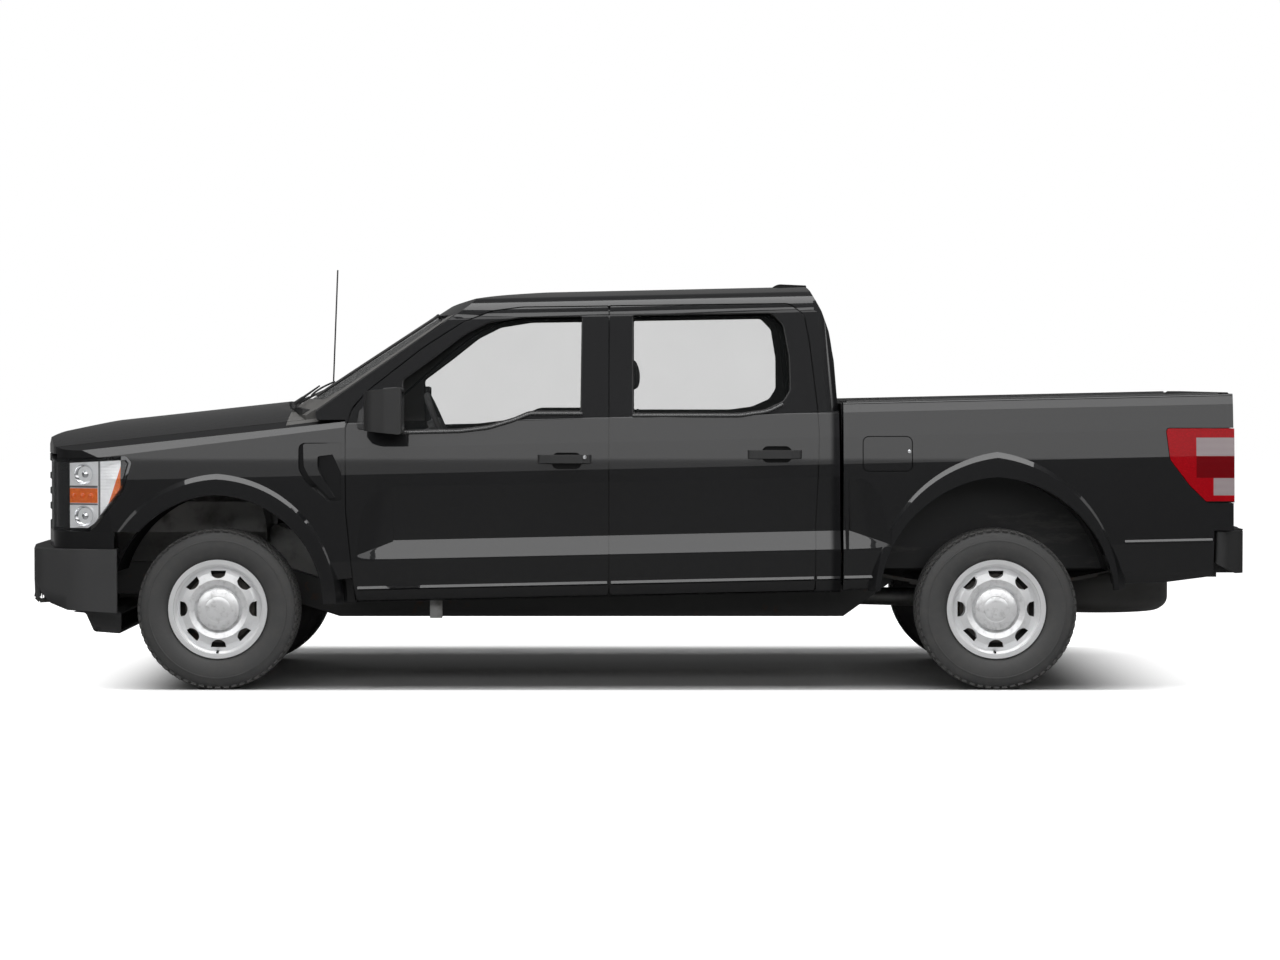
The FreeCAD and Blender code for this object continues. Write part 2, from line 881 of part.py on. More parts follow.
def shell_half():
    tools = [cab_inside]
    tools += door_hole(front_door_outline)
    tools += door_hole(rear_door_outline)
    tools += left_hollow
    tools.append(front_outline_prism(WINDSCREEN_OUTLINE, -1900, -760, 0))
    tools.append(front_outline_prism(BACK_WINDOW_OUTLINE, 800, 1100, 0))
    tools.append(block(-2000, 1100, -790, 1, 300, 495))
    above_bulkhead = hood_plan(d.panel_gap).common(block(-3200, 0, -beyond_y, 10, 1100, 2000))
    tools.append(above_bulkhead.cut(clip_volume(d.fender_wall + d.panel_gap)))
    tools.append(wing_seat())
    return largest(trimmed(cab_skin, tools).fuse(door_buffers()))


shell = mirrored_whole(shell_half())
place_shape("CabShell", shell, "cab_shell")


def fixed_glass():
    """Windscreen and rear window, each a curved or leaning pane set in its opening."""
    outer = d.glass_inset
    pane = front_outline_prism(WINDSCREEN_OUTLINE, -1900, -760, d.seat_gap)
    pane = pane.common(windscreen_round(outer)).cut(windscreen_round(outer + d.glass_thickness))
    back = front_outline_prism(BACK_WINDOW_OUTLINE, 800, 1100, d.seat_gap)
    back = back.cut(side_prism(back_profile(outer), -big / 2, big / 2))
    back = back.common(side_prism(back_profile(outer + d.glass_thickness), -big / 2, big / 2))
    return Part.makeCompound([mirrored_whole(largest(pane)), mirrored_whole(largest(back))])


place_shape("FixedGlass", fixed_glass(), "fixed_glass")

# Doors
front_door = door_solid(front_door_outline, FRONT_WINDOW)
rear_door = door_solid(rear_door_outline, REAR_WINDOW)


def pocket(x0, x1, z0, z1, depth):
    """The hollow behind a door handle."""
    surface = d.crease_half_width - 6
    hollow = [(x0, z0, 30), (x0, z1, 30), (x1, z1, 30), (x1, z0, 30)]
    return side_prism(hollow, -surface - 40, -surface + depth)


FRONT_HANDLE_X = (-466, -206)
REAR_HANDLE_X = (528, 790)
HANDLE_Z = (1062, 1140)
handle_pockets = []
for x0, x1 in (FRONT_HANDLE_X, REAR_HANDLE_X):
    lift = d.rake_slope * x0 * 1.4
    handle_pockets.append(pocket(x0 + 70, x1 - 50, HANDLE_Z[0] + lift, HANDLE_Z[1] + lift, 34))
front_door = largest(front_door.cut(handle_pockets[0]))
rear_door = largest(rear_door.cut(handle_pockets[1]))

for name, shape in (("front", front_door), ("rear", rear_door)):
    left = place_shape(f"{name.title()}DoorLeft", shape, f"{name}_door_left")
    mirror(f"{name.title()}DoorRight", left, f"{name}_door_right")


def door_pane(window):
    """A flat pane along the side's lean, a little inside the skin, set in the window's edge."""
    lean = d.tumblehome_slope
    low = d.belt_z - 110
    high = d.door_top_z + 20
    outer = d.belt_half_width - 8 - 24
    thickness = d.glass_thickness
    section = [
        (-(outer - (low - d.belt_z) * lean), low, 0),
        (-(outer - (high - d.belt_z) * lean), high, 0),
        (-(outer - (high - d.belt_z) * lean) + thickness, high, 0),
        (-(outer - (low - d.belt_z) * lean) + thickness, low, 0),
    ]
    return largest(raked_bar(section, -1400, 1000).common(shrunk_prism(window, d.seat_gap)))


for name, window in (("front", FRONT_WINDOW), ("rear", REAR_WINDOW)):
    left = place_shape(f"{name.title()}PaneLeft", door_pane(window), f"{name}_door_glass_left")
    mirror(f"{name.title()}PaneRight", left, f"{name}_door_glass_right")

# Handles and mirrors stand on the skin with a seating clearance
skin_cover = cab_volume(-d.seat_gap)


def handle(x0, x1, z):
    """A bar handle with feet at both ends, arched away from its pocket."""
    surface = d.crease_half_width - 8
    plan = [
        (x0, -surface + 24, 0),
        (x0 + 4, -surface - 16, 18),
        (x0 + 60, -surface - 30, 60),
        (x1 - 50, -surface - 30, 60),
        (x1 - 4, -surface - 16, 18),
        (x1, -surface + 24, 0),
        (x1 - 42, -surface + 24, 0),
        (x1 - 52, -surface - 12, 14),
        (x0 + 72, -surface - 12, 14),
        (x0 + 58, -surface + 24, 0),
    ]
    bar = plan_prism(plan, z - 20, z + 20)
    return largest(bar.cut(skin_cover))


def door_mirror():
    """A mirror housing on a short arm from the corner plate of the front door."""
    head_plan = [
        (-1285, -1040, 40),
        (-1262, -1180, 60),
        (-1170, -1215, 60),
        (-1092, -1213, 10),
        (-1092, -1012, 10),
        (-1190, -1000, 60),
    ]
    head_side = [(-1320, 1236, 40), (-1300, 1415, 70), (-1085, 1437, 26), (-1085, 1212, 26)]
    head = plan_prism(head_plan, 1150, 1500).common(side_prism(head_side, -1300, -900))
    face_corners = [(-1200, 1232, 34), (-1200, 1416, 34), (-1028, 1416, 34), (-1028, 1232, 34)]
    face = front_prism(face_corners, -1104, -1080)
    head = head.cut(face)
    arm_corners = [(-1235, 1222, 12), (-1228, 1282, 12), (-1118, 1288, 12), (-1110, 1218, 12)]
    arm = side_prism(arm_corners, -1060, -930)
    plate_corners = [
        (-1322, 1238, 14),
        (-1312, 1322, 20),
        (-1196, 1432, 14),
        (-1128, 1436, 10),
        (-1128, 1226, 14),
    ]
    base = side_prism(plate_corners, -1000, -880)
    base = base.common(cab_volume(-9)).cut(left_prism(FRONT_WINDOW))
    return largest(head.fuse([arm, base]).cut(skin_cover).removeSplitter())


front_fittings = Part.makeCompound([handle(*FRONT_HANDLE_X, 1103 + d.rake_slope * -340), door_mirror()])
rear_fittings = Part.makeCompound([handle(*REAR_HANDLE_X, 1103 + d.rake_slope * 660)])
for name, shape in (("front", front_fittings), ("rear", rear_fittings)):
    left = place_shape(f"{name.title()}FittingsLeft", shape, f"{name}_door_fittings_left")
    mirror(f"{name.title()}FittingsRight", left, f"{name}_door_fittings_right")

# Front end
clip_skin = clip_volume(0)
clip_inside = clip_volume(d.fender_wall)


def ellipse_prism(x, reach, rise, y0, y1):
    """A wheel arch's outline about an axle, carried across; it runs well below the axle."""
    low = Vector(x - reach, y0, 0)
    start = Vector(x - reach, y0, axle_z)
    top = Vector(x, y0, axle_z + rise)
    end = Vector(x + reach, y0, axle_z)
    foot = Vector(x + reach, y0, 0)
    shoulder = math.sqrt(0.5)
    front_mid = Vector(x - reach * shoulder, y0, axle_z + rise * shoulder)
    rear_mid = Vector(x + reach * shoulder, y0, axle_z + rise * shoulder)
    edges = [
        Part.LineSegment(low, start),
        Part.Arc(start, front_mid, top),
        Part.Arc(top, rear_mid, end),
        Part.LineSegment(end, foot),
        Part.LineSegment(foot, low),
    ]
    wire = Part.Wire([item.toShape() for item in edges])
    if y1 is None:
        return wire
    return Part.Face(wire).extrude(Vector(0, y1 - y0, 0))


def flare(x, reach, rise, outer_reach, outer_rise, low_z):
    """A raised lip round a left wheel arch, sloping out from the body to its edge."""
    outer = ellipse_prism(x, outer_reach, outer_rise, -d.crease_half_width + 22, None)
    edge = ellipse_prism(x, outer_reach - 34, outer_rise - 46, -d.flare_half_width + 4, None)
    lip = ellipse_prism(x, reach, rise, -d.flare_half_width, None)
    skirt = Part.makeLoft([outer, edge, lip], True, True)
    hole = ellipse_prism(x, reach, rise, -beyond_y, 0)
    below = block(x - 2000, x + 2000, -beyond_y, 0, -10, low_z)
    return trimmed(skirt, [hole, below])


HOOD_LOW_Z = 1118
hood_zone = hood_plan(0).common(block(-3200, 0, -beyond_y, 0, HOOD_LOW_Z, 2000))
hood_void = hood_plan(d.panel_gap)
hood_half = largest(clip_skin.cut(clip_inside).common(hood_zone))
hood = mirrored_whole(hood_half)
place_shape("Hood", hood, "hood")

# Headlamp outline in side view, and the part of the plan it fills
LAMP_SIDE = [
    (-2960, 1092, 0),
    (-2690, 1092, 120),
    (-2415, 1107, 16),
    (-2390, 1078, 16),
    (-2428, 946, 60),
    (-2560, 776, 40),
    (-2600, 750, 14),
    (-2960, 750, 0),
]
LAMP_PLAN = [
    (-3100, -654, 0),
    (-2752, -654, 0),
    (-2706, -740, 60),
    (-2600, -850, 90),
    (-2300, -905, 0),
    (-2300, -1100, 0),
    (-3100, -1100, 0),
]


def lamp_solid(gap):
    side = [(x, z, radius) for x, z, radius in LAMP_SIDE]
    face = Part.Face(Part.Wire(rounded_edges(side, side_place(0))))
    if gap:
        face = face.makeOffset2D(gap)
    face.translate(Vector(0, -big / 2, 0))
    prism = face.extrude(Vector(0, big / 2 - d.grille_half_width + 6 - d.seat_gap + gap, 0))
    return prism


lamp_zone = plan_prism(LAMP_PLAN, 600, 1300)
headlamp = largest(clip_skin.common(lamp_solid(0)).common(lamp_zone))
place_shape("Headlamps", mirrored_pair(headlamp), "headlamps")

# Wings: a thin wall from the bonnet's edge to the sill, open at the arch
arch_hole = ellipse_prism(front_axle_x, d.front_arch_reach, d.front_arch_rise, -beyond_y, -300)
front_lip_z = raked(front_axle_x, d.rocker_z) + 6
front_flare = flare(
    front_axle_x, d.front_arch_reach, d.front_arch_rise, d.front_flare_reach, d.front_flare_rise, front_lip_z
)
FASCIA_TOP_Z = d.grille_low_z + 8 - d.seat_gap


def fender_half():
    wall = clip_skin.cut(clip_inside)
    outer = wall.fuse(front_flare.cut(clip_inside))
    tools = [
        arch_hole,
        hood_void,
        side_prism(FENDER_REAR, -beyond_y, 0),
        lamp_solid(3).common(block(-3200, -2300, -beyond_y, 0, 600, 1200)),
        block(-3200, -2300, -beyond_y, 0, 0, FASCIA_TOP_Z + d.seat_gap),
        block(-3200, -1700, -700, 10, 0, 2000),
        block(-1700, 0, -WING_INNER_Y, 10, 0, 2000),
        block(-3200, -2350, -beyond_y, 0, 0, 700),
        side_prism(VENT_HOLE, -beyond_y, -930),
    ]
    return largest(trimmed(outer, tools))


# The vent behind the front wheel: a scoop that narrows downward, and the blade standing in it
VENT_HOLE = [
    (-1596, 1172, 30),
    (-1394, 1172, 8),
    (-1394, 898, 8),
    (-1462, 898, 30),
    (-1562, 988, 60),
    (-1596, 1046, 60),
]
VENT_BLADE = [
    (-1575, 1168, 12),
    (-1427, 1170, 8),
    (-1427, 1118, 8),
    (-1506, 1108, 10),
    (-1506, 1044, 90),
    (-1424, 912, 0),
    (-1446, 908, 14),
    (-1540, 1000, 60),
    (-1571, 1060, 60),
]
VENT_PLAN = [(-1620, -930, 0), (-1620, -962, 0), (-1512, -962, 0), (-1384, -986, 0), (-1384, -930, 0)]
fender = fender_half()
place_shape("FrontFenders", mirrored_pair(fender), "front_fenders")


def vent_insert():
    """The fender vent's insert: a scoop rising rearward to the skin, with a blade standing in it."""
    face = Part.Face(Part.Wire(rounded_edges(VENT_HOLE, side_place(-930)))).makeOffset2D(-d.seat_gap)
    room = face.extrude(Vector(0, -90, 0)).common(clip_volume(3)).cut(clip_volume(d.fender_wall))
    scoop = room.common(plan_prism(VENT_PLAN, 800, 1300))
    blade = room.common(side_prism(VENT_BLADE, -beyond_y, -930))
    return joined([scoop, blade])


place_shape("FenderVents", mirrored_pair(vent_insert()), "fender_vents")

# Painted strip between lamps and bumper, right across the nose
fascia_zone = block(-3200, -2468, -beyond_y, 0, d.bumper_top_z + d.seat_gap, FASCIA_TOP_Z)
fascia_half = clip_skin.cut(clip_inside).common(fascia_zone).cut(arch_hole)
fascia = mirrored_whole(largest(fascia_half))
place_shape("FrontFascia", fascia, "front_fascia")


def grille():
    """Grille surround and bars, following the nose's bow."""
    side = d.grille_half_width - 6
    zone = [(-side, d.grille_low_z + 8, 30), (0, d.grille_low_z + 8, 0), (0, d.grille_top_z, 0)]
    zone.append((-side, d.grille_top_z, 60))
    deep = plan_prism(nose_plan(d.grille_depth), 0, 2000)
    body = clip_skin.common(front_prism(zone, -3100, -2500)).cut(deep)
    frame = 34
    low = d.grille_low_z + 8 + frame
    high = d.grille_top_z - frame
    count = int(d.grille_bar_count)
    pitch = (high - low) / count
    bar = 26
    tools = []
    for index in range(count):
        z0 = low + pitch * index + (bar / 2 if index else 0)
        z1 = low + pitch * (index + 1) - (bar / 2 if index < count - 1 else 0)
        half_width = side - frame - 6
        slot = [(-half_width, z0, 14), (10, z0, 0), (10, z1, 0), (-half_width, z1, 14)]
        tools.append(front_prism(slot, -3100, -2500))
    rest = block(-2850, -2826, -330, -250, d.grille_top_z - 12, HOOD_LOW_Z - d.seat_gap)
    return mirrored_whole(largest(trimmed(body, tools).fuse(rest)))


place_shape("Grille", grille(), "grille")


# Cowl panel between the bonnet's rear edge and the windscreen
def cowl():
    side = 800
    top = [(-1760, 1342, 0), (-1668, 1340, 0), (-1560, 1330, 0), (-1560, 1298, 0), (-1760, 1298, 0)]
    panel = side_prism(top, -side, 0)
    panel = panel.cut(hood_plan(d.panel_gap)).cut(windscreen_round(-d.seat_gap))
    return mirrored_whole(largest(panel))


place_shape("Cowl", cowl(), "cowl")


def bumper_plan(inset):
    """The front bumper's left half in plan, at an inset from its face."""
    return [
        (nose_end_x + inset, 0, 0),
        (nose_end_x + 8 + inset, -420, 1500),
        (-2862 + inset, -905, 110),
        (-2640, -1000 + inset, 300),
        (-2455, -1004 + inset, 0),
        (-2455, 0, 0),
    ]


def front_bumper():
    """A deep bowed bumper wrapped round the corners, hollow behind, with an air deflector below."""
    low = d.bumper_low_z - 14
    top = d.bumper_top_z
    form = plan_prism(bumper_plan(0), 300, 800)
    # the face leans in below a shelf at mid height
    lower_face = [
        (nose_end_x - 60, 540, 0),
        (nose_end_x - 2, 540, 20),
        (nose_end_x + 14, 500, 20),
        (nose_end_x + 42, 430, 30),
        (nose_end_x + 96, low - 20, 0),
        (nose_end_x - 60, low - 20, 0),
    ]
    hollow = plan_prism(bumper_plan(d.bumper_wall), 300, top - 22)
    shelf = [(x, min(y, 0), radius) for x, y, radius in bumper_plan(d.bumper_shelf)]
    opening = plan_prism(shelf, top - 30, top + 10)
    under = block(-3000, -2400, -beyond_y, 10, 300, low)
    body = trimmed(form, [side_prism(lower_face, -beyond_y, 0), hollow, under, opening])
    body = body.cut(block(-3000, -2000, -beyond_y, 10, top, 900))
    intake = front_prism([(-470, 420, 24), (10, 420, 0), (10, 520, 0), (-470, 520, 24)], -3000, -2850)
    fog = front_prism([(-800, 430, 30), (-640, 430, 30), (-640, 520, 30), (-800, 520, 30)], -3000, -2780)
    body = largest(trimmed(body, [intake, fog]))
    return mirrored_whole(body)


def air_deflector():
    profile = [(-2700, 357, 0), (-2640, 352, 20), (-2600, 262, 20), (-2470, 252, 10), (-2470, 357, 0)]
    body = side_prism(profile, -760, 760)
    inner = [
        (-2680, 300, 0),
        (-2625, 330, 20),
        (-2588, 276, 12),
        (-2400, 270, 0),
        (-2400, 345, 0),
        (-2640, 345, 0),
    ]
    body = body.cut(side_prism(inner, -735, 735))
    legs = [block(-2672, -2632, y, y + 40, 346, 466.25 - d.seat_gap) for y in (-340, 300)]
    return largest(joined([body] + legs))


place_shape("FrontBumper", Part.makeCompound([front_bumper(), air_deflector()]), "front_bumper")

# Cargo box sides. A thin wall with a capped rail, a rear post and a flared arch.
BED_HALF = [
    (d.rocker_half_width, d.rocker_z, 12),
    (d.sill_half_width, d.sill_line_z, SIDE_RADIUS),
    (d.band_half_width, d.band_low_z, SIDE_RADIUS),
    (d.crease_half_width, d.crease_z, 40),
    (d.shoulder_half_width, d.shoulder_z, 40),
    (d.belt_half_width + 2, d.belt_z - 8, 30),
    (d.belt_half_width - 10, d.bed_rail_z, 14),
    (d.bed_inner_half_width + d.seat_gap, d.bed_rail_z, 8),
    (d.bed_inner_half_width + d.seat_gap, d.bed_rail_z - 32, 0),
    (d.belt_half_width - 44, d.bed_rail_z - 32, 14),
    (d.belt_half_width - 38, d.belt_z - 20, 0),
    (d.shoulder_half_width - 40, d.shoulder_z, 40),
    (d.crease_half_width - 40, d.crease_z, 40),
    (d.band_half_width - 40, d.band_low_z, SIDE_RADIUS),
    (d.sill_half_width - 38, d.sill_line_z + 16, 12),
    (d.rocker_half_width - 24, d.rocker_z + 20, 0),
]
BED_FULL = BED_HALF[:7] + [(780, d.bed_rail_z, 0), (780, d.rocker_z, 0)]
rear_arch_hole = ellipse_prism(rear_axle_x, d.rear_arch_reach, d.rear_arch_rise, -beyond_y, -300)
TAIL_LAMP = [
    (2512, 1240, 14),
    (2860, 1240, 0),
    (2860, 890, 0),
    (2706, 890, 20),
    (2624, 970, 60),
    (2530, 1094, 60),
]
FLAP_SIDE = [(1079, 1039, 26), (1079, 1200, 26), (1308, 1200, 26), (1308, 1039, 26)]


def hinge_pin(side, radius, depth):
    """A tailgate pin on one side, from the rear post to a depth inside the gate's end."""
    start = d.tailgate_half_width - depth
    run = Vector(0, side, 0)
    return Part.makeCylinder(radius, depth + 20, Vector(TAILGATE_PIN_X, side * start, TAILGATE_PIN_Z), run)


TAILGATE_PIN_X = 2806
TAILGATE_PIN_Z = 860


def bed_side():
    x0 = d.bed_x0
    x1 = d.bed_x1
    bar = raked_bar(left_of(BED_HALF), x0 - 60, x1 + 60)
    full = raked_bar(left_of(BED_FULL), x0 - 60, x1 + 60)
    post = full.common(block(x1 - 66, x1, -beyond_y, -d.tailgate_half_width - d.panel_gap, 600, 1500))
    front = full.common(block(x0, x0 + 22, -beyond_y, -d.bed_inner_half_width - d.seat_gap, 300, 1500))
    ends = [block(x0 - 200, x0, -beyond_y, 10, 0, 2000), block(x1, x1 + 300, -beyond_y, 10, 0, 2000)]
    wheel_flare = flare(
        rear_axle_x, d.rear_arch_reach, d.rear_arch_rise, d.rear_flare_reach, d.rear_flare_rise, 470
    )
    inner = raked_bar(left_of([(across - 30, up, 0) for across, up, radius in BED_FULL]), x0 - 60, x1 + 60)
    form = bar.fuse(post).fuse(front).fuse(wheel_flare.cut(inner))
    rising = [(2200, 466, 300), (2860, 556, 0), (2860, 300, 0), (1700, 300, 0), (1700, 466, 0)]
    lamp_gap = Part.Face(Part.Wire(rounded_edges(TAIL_LAMP, side_place(-beyond_y)))).makeOffset2D(3)
    lamp_gap = lamp_gap.extrude(Vector(0, beyond_y - 862, 0))
    bumper_room = block(2738, 2900, -beyond_y, 0, 0, d.rear_bumper_top_z + d.panel_gap)
    tools = ends + left_hollow + [rear_arch_hole, side_prism(rising, -beyond_y, 0), lamp_gap, bumper_room]
    return largest(trimmed(form, tools))


bed_left = joined([bed_side(), hinge_pin(-1, d.tailgate_pin_radius, 20)])
flap_face = Part.Face(Part.Wire(rounded_edges(FLAP_SIDE, side_place(-beyond_y))))
flap_back_y = d.crease_half_width - d.flap_thickness
flap_hole = flap_face.makeOffset2D(d.panel_gap - 1)
flap_hole = flap_hole.extrude(Vector(0, beyond_y - flap_back_y + d.panel_gap, 0))
bed_right = flipped(bed_left)
flap_rest = block(1180, 1210, -flap_back_y + d.seat_gap, -flap_back_y + 2 * d.panel_gap, 1100, 1130)
bed_left_cut = largest(bed_left.cut(flap_hole).fuse(flap_rest))
place_shape("Bedsides", Part.makeCompound([bed_left_cut, bed_right]), "bedsides")

tail_full = raked_bar(left_of(BED_FULL), d.bed_x0 - 60, d.bed_x1 + 60)
tail_lamp = side_prism(TAIL_LAMP, -beyond_y, -862 - d.seat_gap).common(tail_full)
tail_lamp = largest(tail_lamp.cut(block(d.bed_x1 + 4, 3000, -beyond_y, 0, 0, 2000)))

flap = flap_face.extrude(Vector(0, beyond_y - flap_back_y, 0)).common(raked_bar(left_of(BED_FULL), 900, 1500))
place_shape("FuelFlap", largest(flap), "fuel_flap")


def cargo_box():
    """Ribbed floor, front wall, inner sides and wheelhouse tubs of the cargo box."""
    x0 = d.bed_x0 + 24
    x1 = 2752
    half_width = d.bed_inner_half_width
    thickness = d.bed_panel_thickness
    floor_z = d.bed_floor_z
    top_z = d.bed_rail_z - 6
    floor = block(x0, x1, -half_width, 0, floor_z - thickness, floor_z)
    wall = block(x0, x0 + thickness, -half_width, 0, floor_z - thickness, top_z)
    side = block(x0, x1 + 6, -half_width, -half_width + thickness, floor_z - 160, top_z)
    parts = [wall, side]
    count = int(d.floor_rib_count)
    pitch = 2 * d.wheelhouse_half_width / count
    rib_corners = []
    for index in range(count):
        y = -d.wheelhouse_half_width + pitch * (index + 0.5)
        if y > 1:
            continue
        inner = min(y + pitch * 0.3, 0)
        rib_top = floor_z + d.floor_rib_height
        rib_corners.append(block(x0 + 30, x1 - 30, y - pitch * 0.3, inner, floor_z, rib_top))
    parts += rib_corners
    box_shape = leaned(floor.fuse(parts))
    tub = ellipse_prism(
        rear_axle_x,
        d.rear_arch_reach + d.liner_wall,
        d.rear_arch_rise + d.liner_wall,
        -915,
        -d.wheelhouse_half_width,
    )
    hollow = ellipse_prism(
        rear_axle_x, d.rear_arch_reach, d.rear_arch_rise, -920, -d.wheelhouse_half_width - d.liner_wall
    )
    tub_cut = block(0, 3000, -1000, 0, 0, 560)
    well_y = -d.wheelhouse_half_width - d.liner_wall
    well = ellipse_prism(rear_axle_x, d.rear_arch_reach, d.rear_arch_rise, -1000, well_y)
    box_shape = box_shape.cut(well).fuse(tub.cut(hollow).cut(tub_cut))
    return mirrored_whole(largest(box_shape))


place_shape("CargoBox", cargo_box(), "cargo_box")


def tailgate():
    """The gate's panel, with a raised lip along its top, a pressed handle recess and a hollow back."""
    x1 = d.bed_x1 + 2
    x0 = x1 - d.tailgate_thickness
    low = 822
    top = 1404
    profile = [
        (x0, low, 8),
        (x1 - 10, low, 20),
        (x1, low + 60, 30),
        (x1 - 2, 1330, 40),
        (x1 + 10, top - 14, 12),
        (x1 + 4, top, 8),
        (x0, top, 8),
    ]
    gate = side_prism(profile, -d.tailgate_half_width, d.tailgate_half_width)
    recess_corners = [(-130, 1230, 24), (130, 1230, 24), (130, 1312, 24), (-130, 1312, 24)]
    recess = front_prism(recess_corners, x1 - 26, x1 + 30)
    panel = front_prism([(-690, 930, 30), (690, 930, 30), (690, 1180, 30), (-690, 1180, 30)], x1 - 6, x1 + 30)
    bores = [hinge_pin(side, d.tailgate_pin_radius + d.seat_gap, 26) for side in (-1, 1)]
    return largest(trimmed(gate, [recess, panel] + bores))


place_shape("Tailgate", tailgate(), "tailgate")


def tailgate_handle():
    plate = block(d.bed_x1 - 24, d.bed_x1 - 16, -110, 110, 1246, 1300)
    bar = block(d.bed_x1 - 24, d.bed_x1 - 2, -96, 96, 1262, 1292)
    return plate.fuse(bar).removeSplitter()


place_shape("TailgateHandle", tailgate_handle(), "tailgate_handle")


def rear_bumper_hollow(gap):
    """The plan of the room inside the rear bumper, drawn in by a gap."""
    return [
        (tail_end_x - 34 - gap, 0, 0),
        (tail_end_x - 38 - gap, -430, 400),
        (tail_end_x - 84 - gap, -870 + gap, 40),
        (2600, -870 + gap, 0),
        (2600, 0, 0),
    ]


def rear_bumper():
    """Step bumper: a bowed face with angled ends, a step pad and a notch for the ball."""
    low = d.rear_bumper_low_z
    top = d.rear_bumper_top_z
    plan = [
        (tail_end_x, 0, 0),
        (tail_end_x - 4, -430, 400),
        (tail_end_x - 52, -905, 60),
        (2790, -985, 60),
        (2745, -985, 20),
        (2745, -900, 0),
        (2775, 0, 0),
    ]
    form = plan_prism(plan, low, top)
    under = [(2700, low - 10, 0), (2700, low + 70, 0), (2850, low - 1, 0), (2850, low - 10, 0)]
    hollow = plan_prism(rear_bumper_hollow(0), low - 20, top - 30)
    notch_corners = [(-170, low - 20, 0), (10, low - 20, 0), (10, top - 62, 0), (-170, top - 62, 30)]
    plate_notch = front_prism(notch_corners, 2890, 3000)
    body = trimmed(form, [side_prism(under, -1000, -880), hollow, plate_notch])
    body = mirrored_whole(largest(body))
    ball = Part.makeCylinder(d.ball_hole_radius, 200, Vector(2868, 0, top - 100))
    return largest(body.cut(ball))


place_shape("RearBumper", rear_bumper(), "rear_bumper")

# Wheels. Each is turned about its own axle and then placed, and the windows are cut by a pattern.


def tyre(name, x, y):
    half_width = "dims.tyre_width / 2"
    radius = "dims.tyre_diameter / 2"
    bead = "dims.bead_diameter / 2"
    tread = "dims.tread_width / 2"
    side = [
        ("86", bead),
        ("91", f"{bead} + 4"),
        ("93", f"{bead} + 19"),
        (f"{half_width} - 8", f"{bead} + 44"),
        (half_width, f"{bead} + 84"),
        (f"{half_width} - 5", f"{radius} - 40"),
        (f"{tread} + 2", f"{radius} - 10"),
        (f"{tread} - 26", radius),
    ]
    left = [(f"-({across})", up) for across, up in side]
    body = turned(name, left + side[::-1], "YZ_Plane")
    body.setExpression("Placement.Base.x", x)
    body.setExpression("Placement.Base.y", y)
    body.setExpression("Placement.Base.z", "dims.tyre_diameter / 2")
    return body


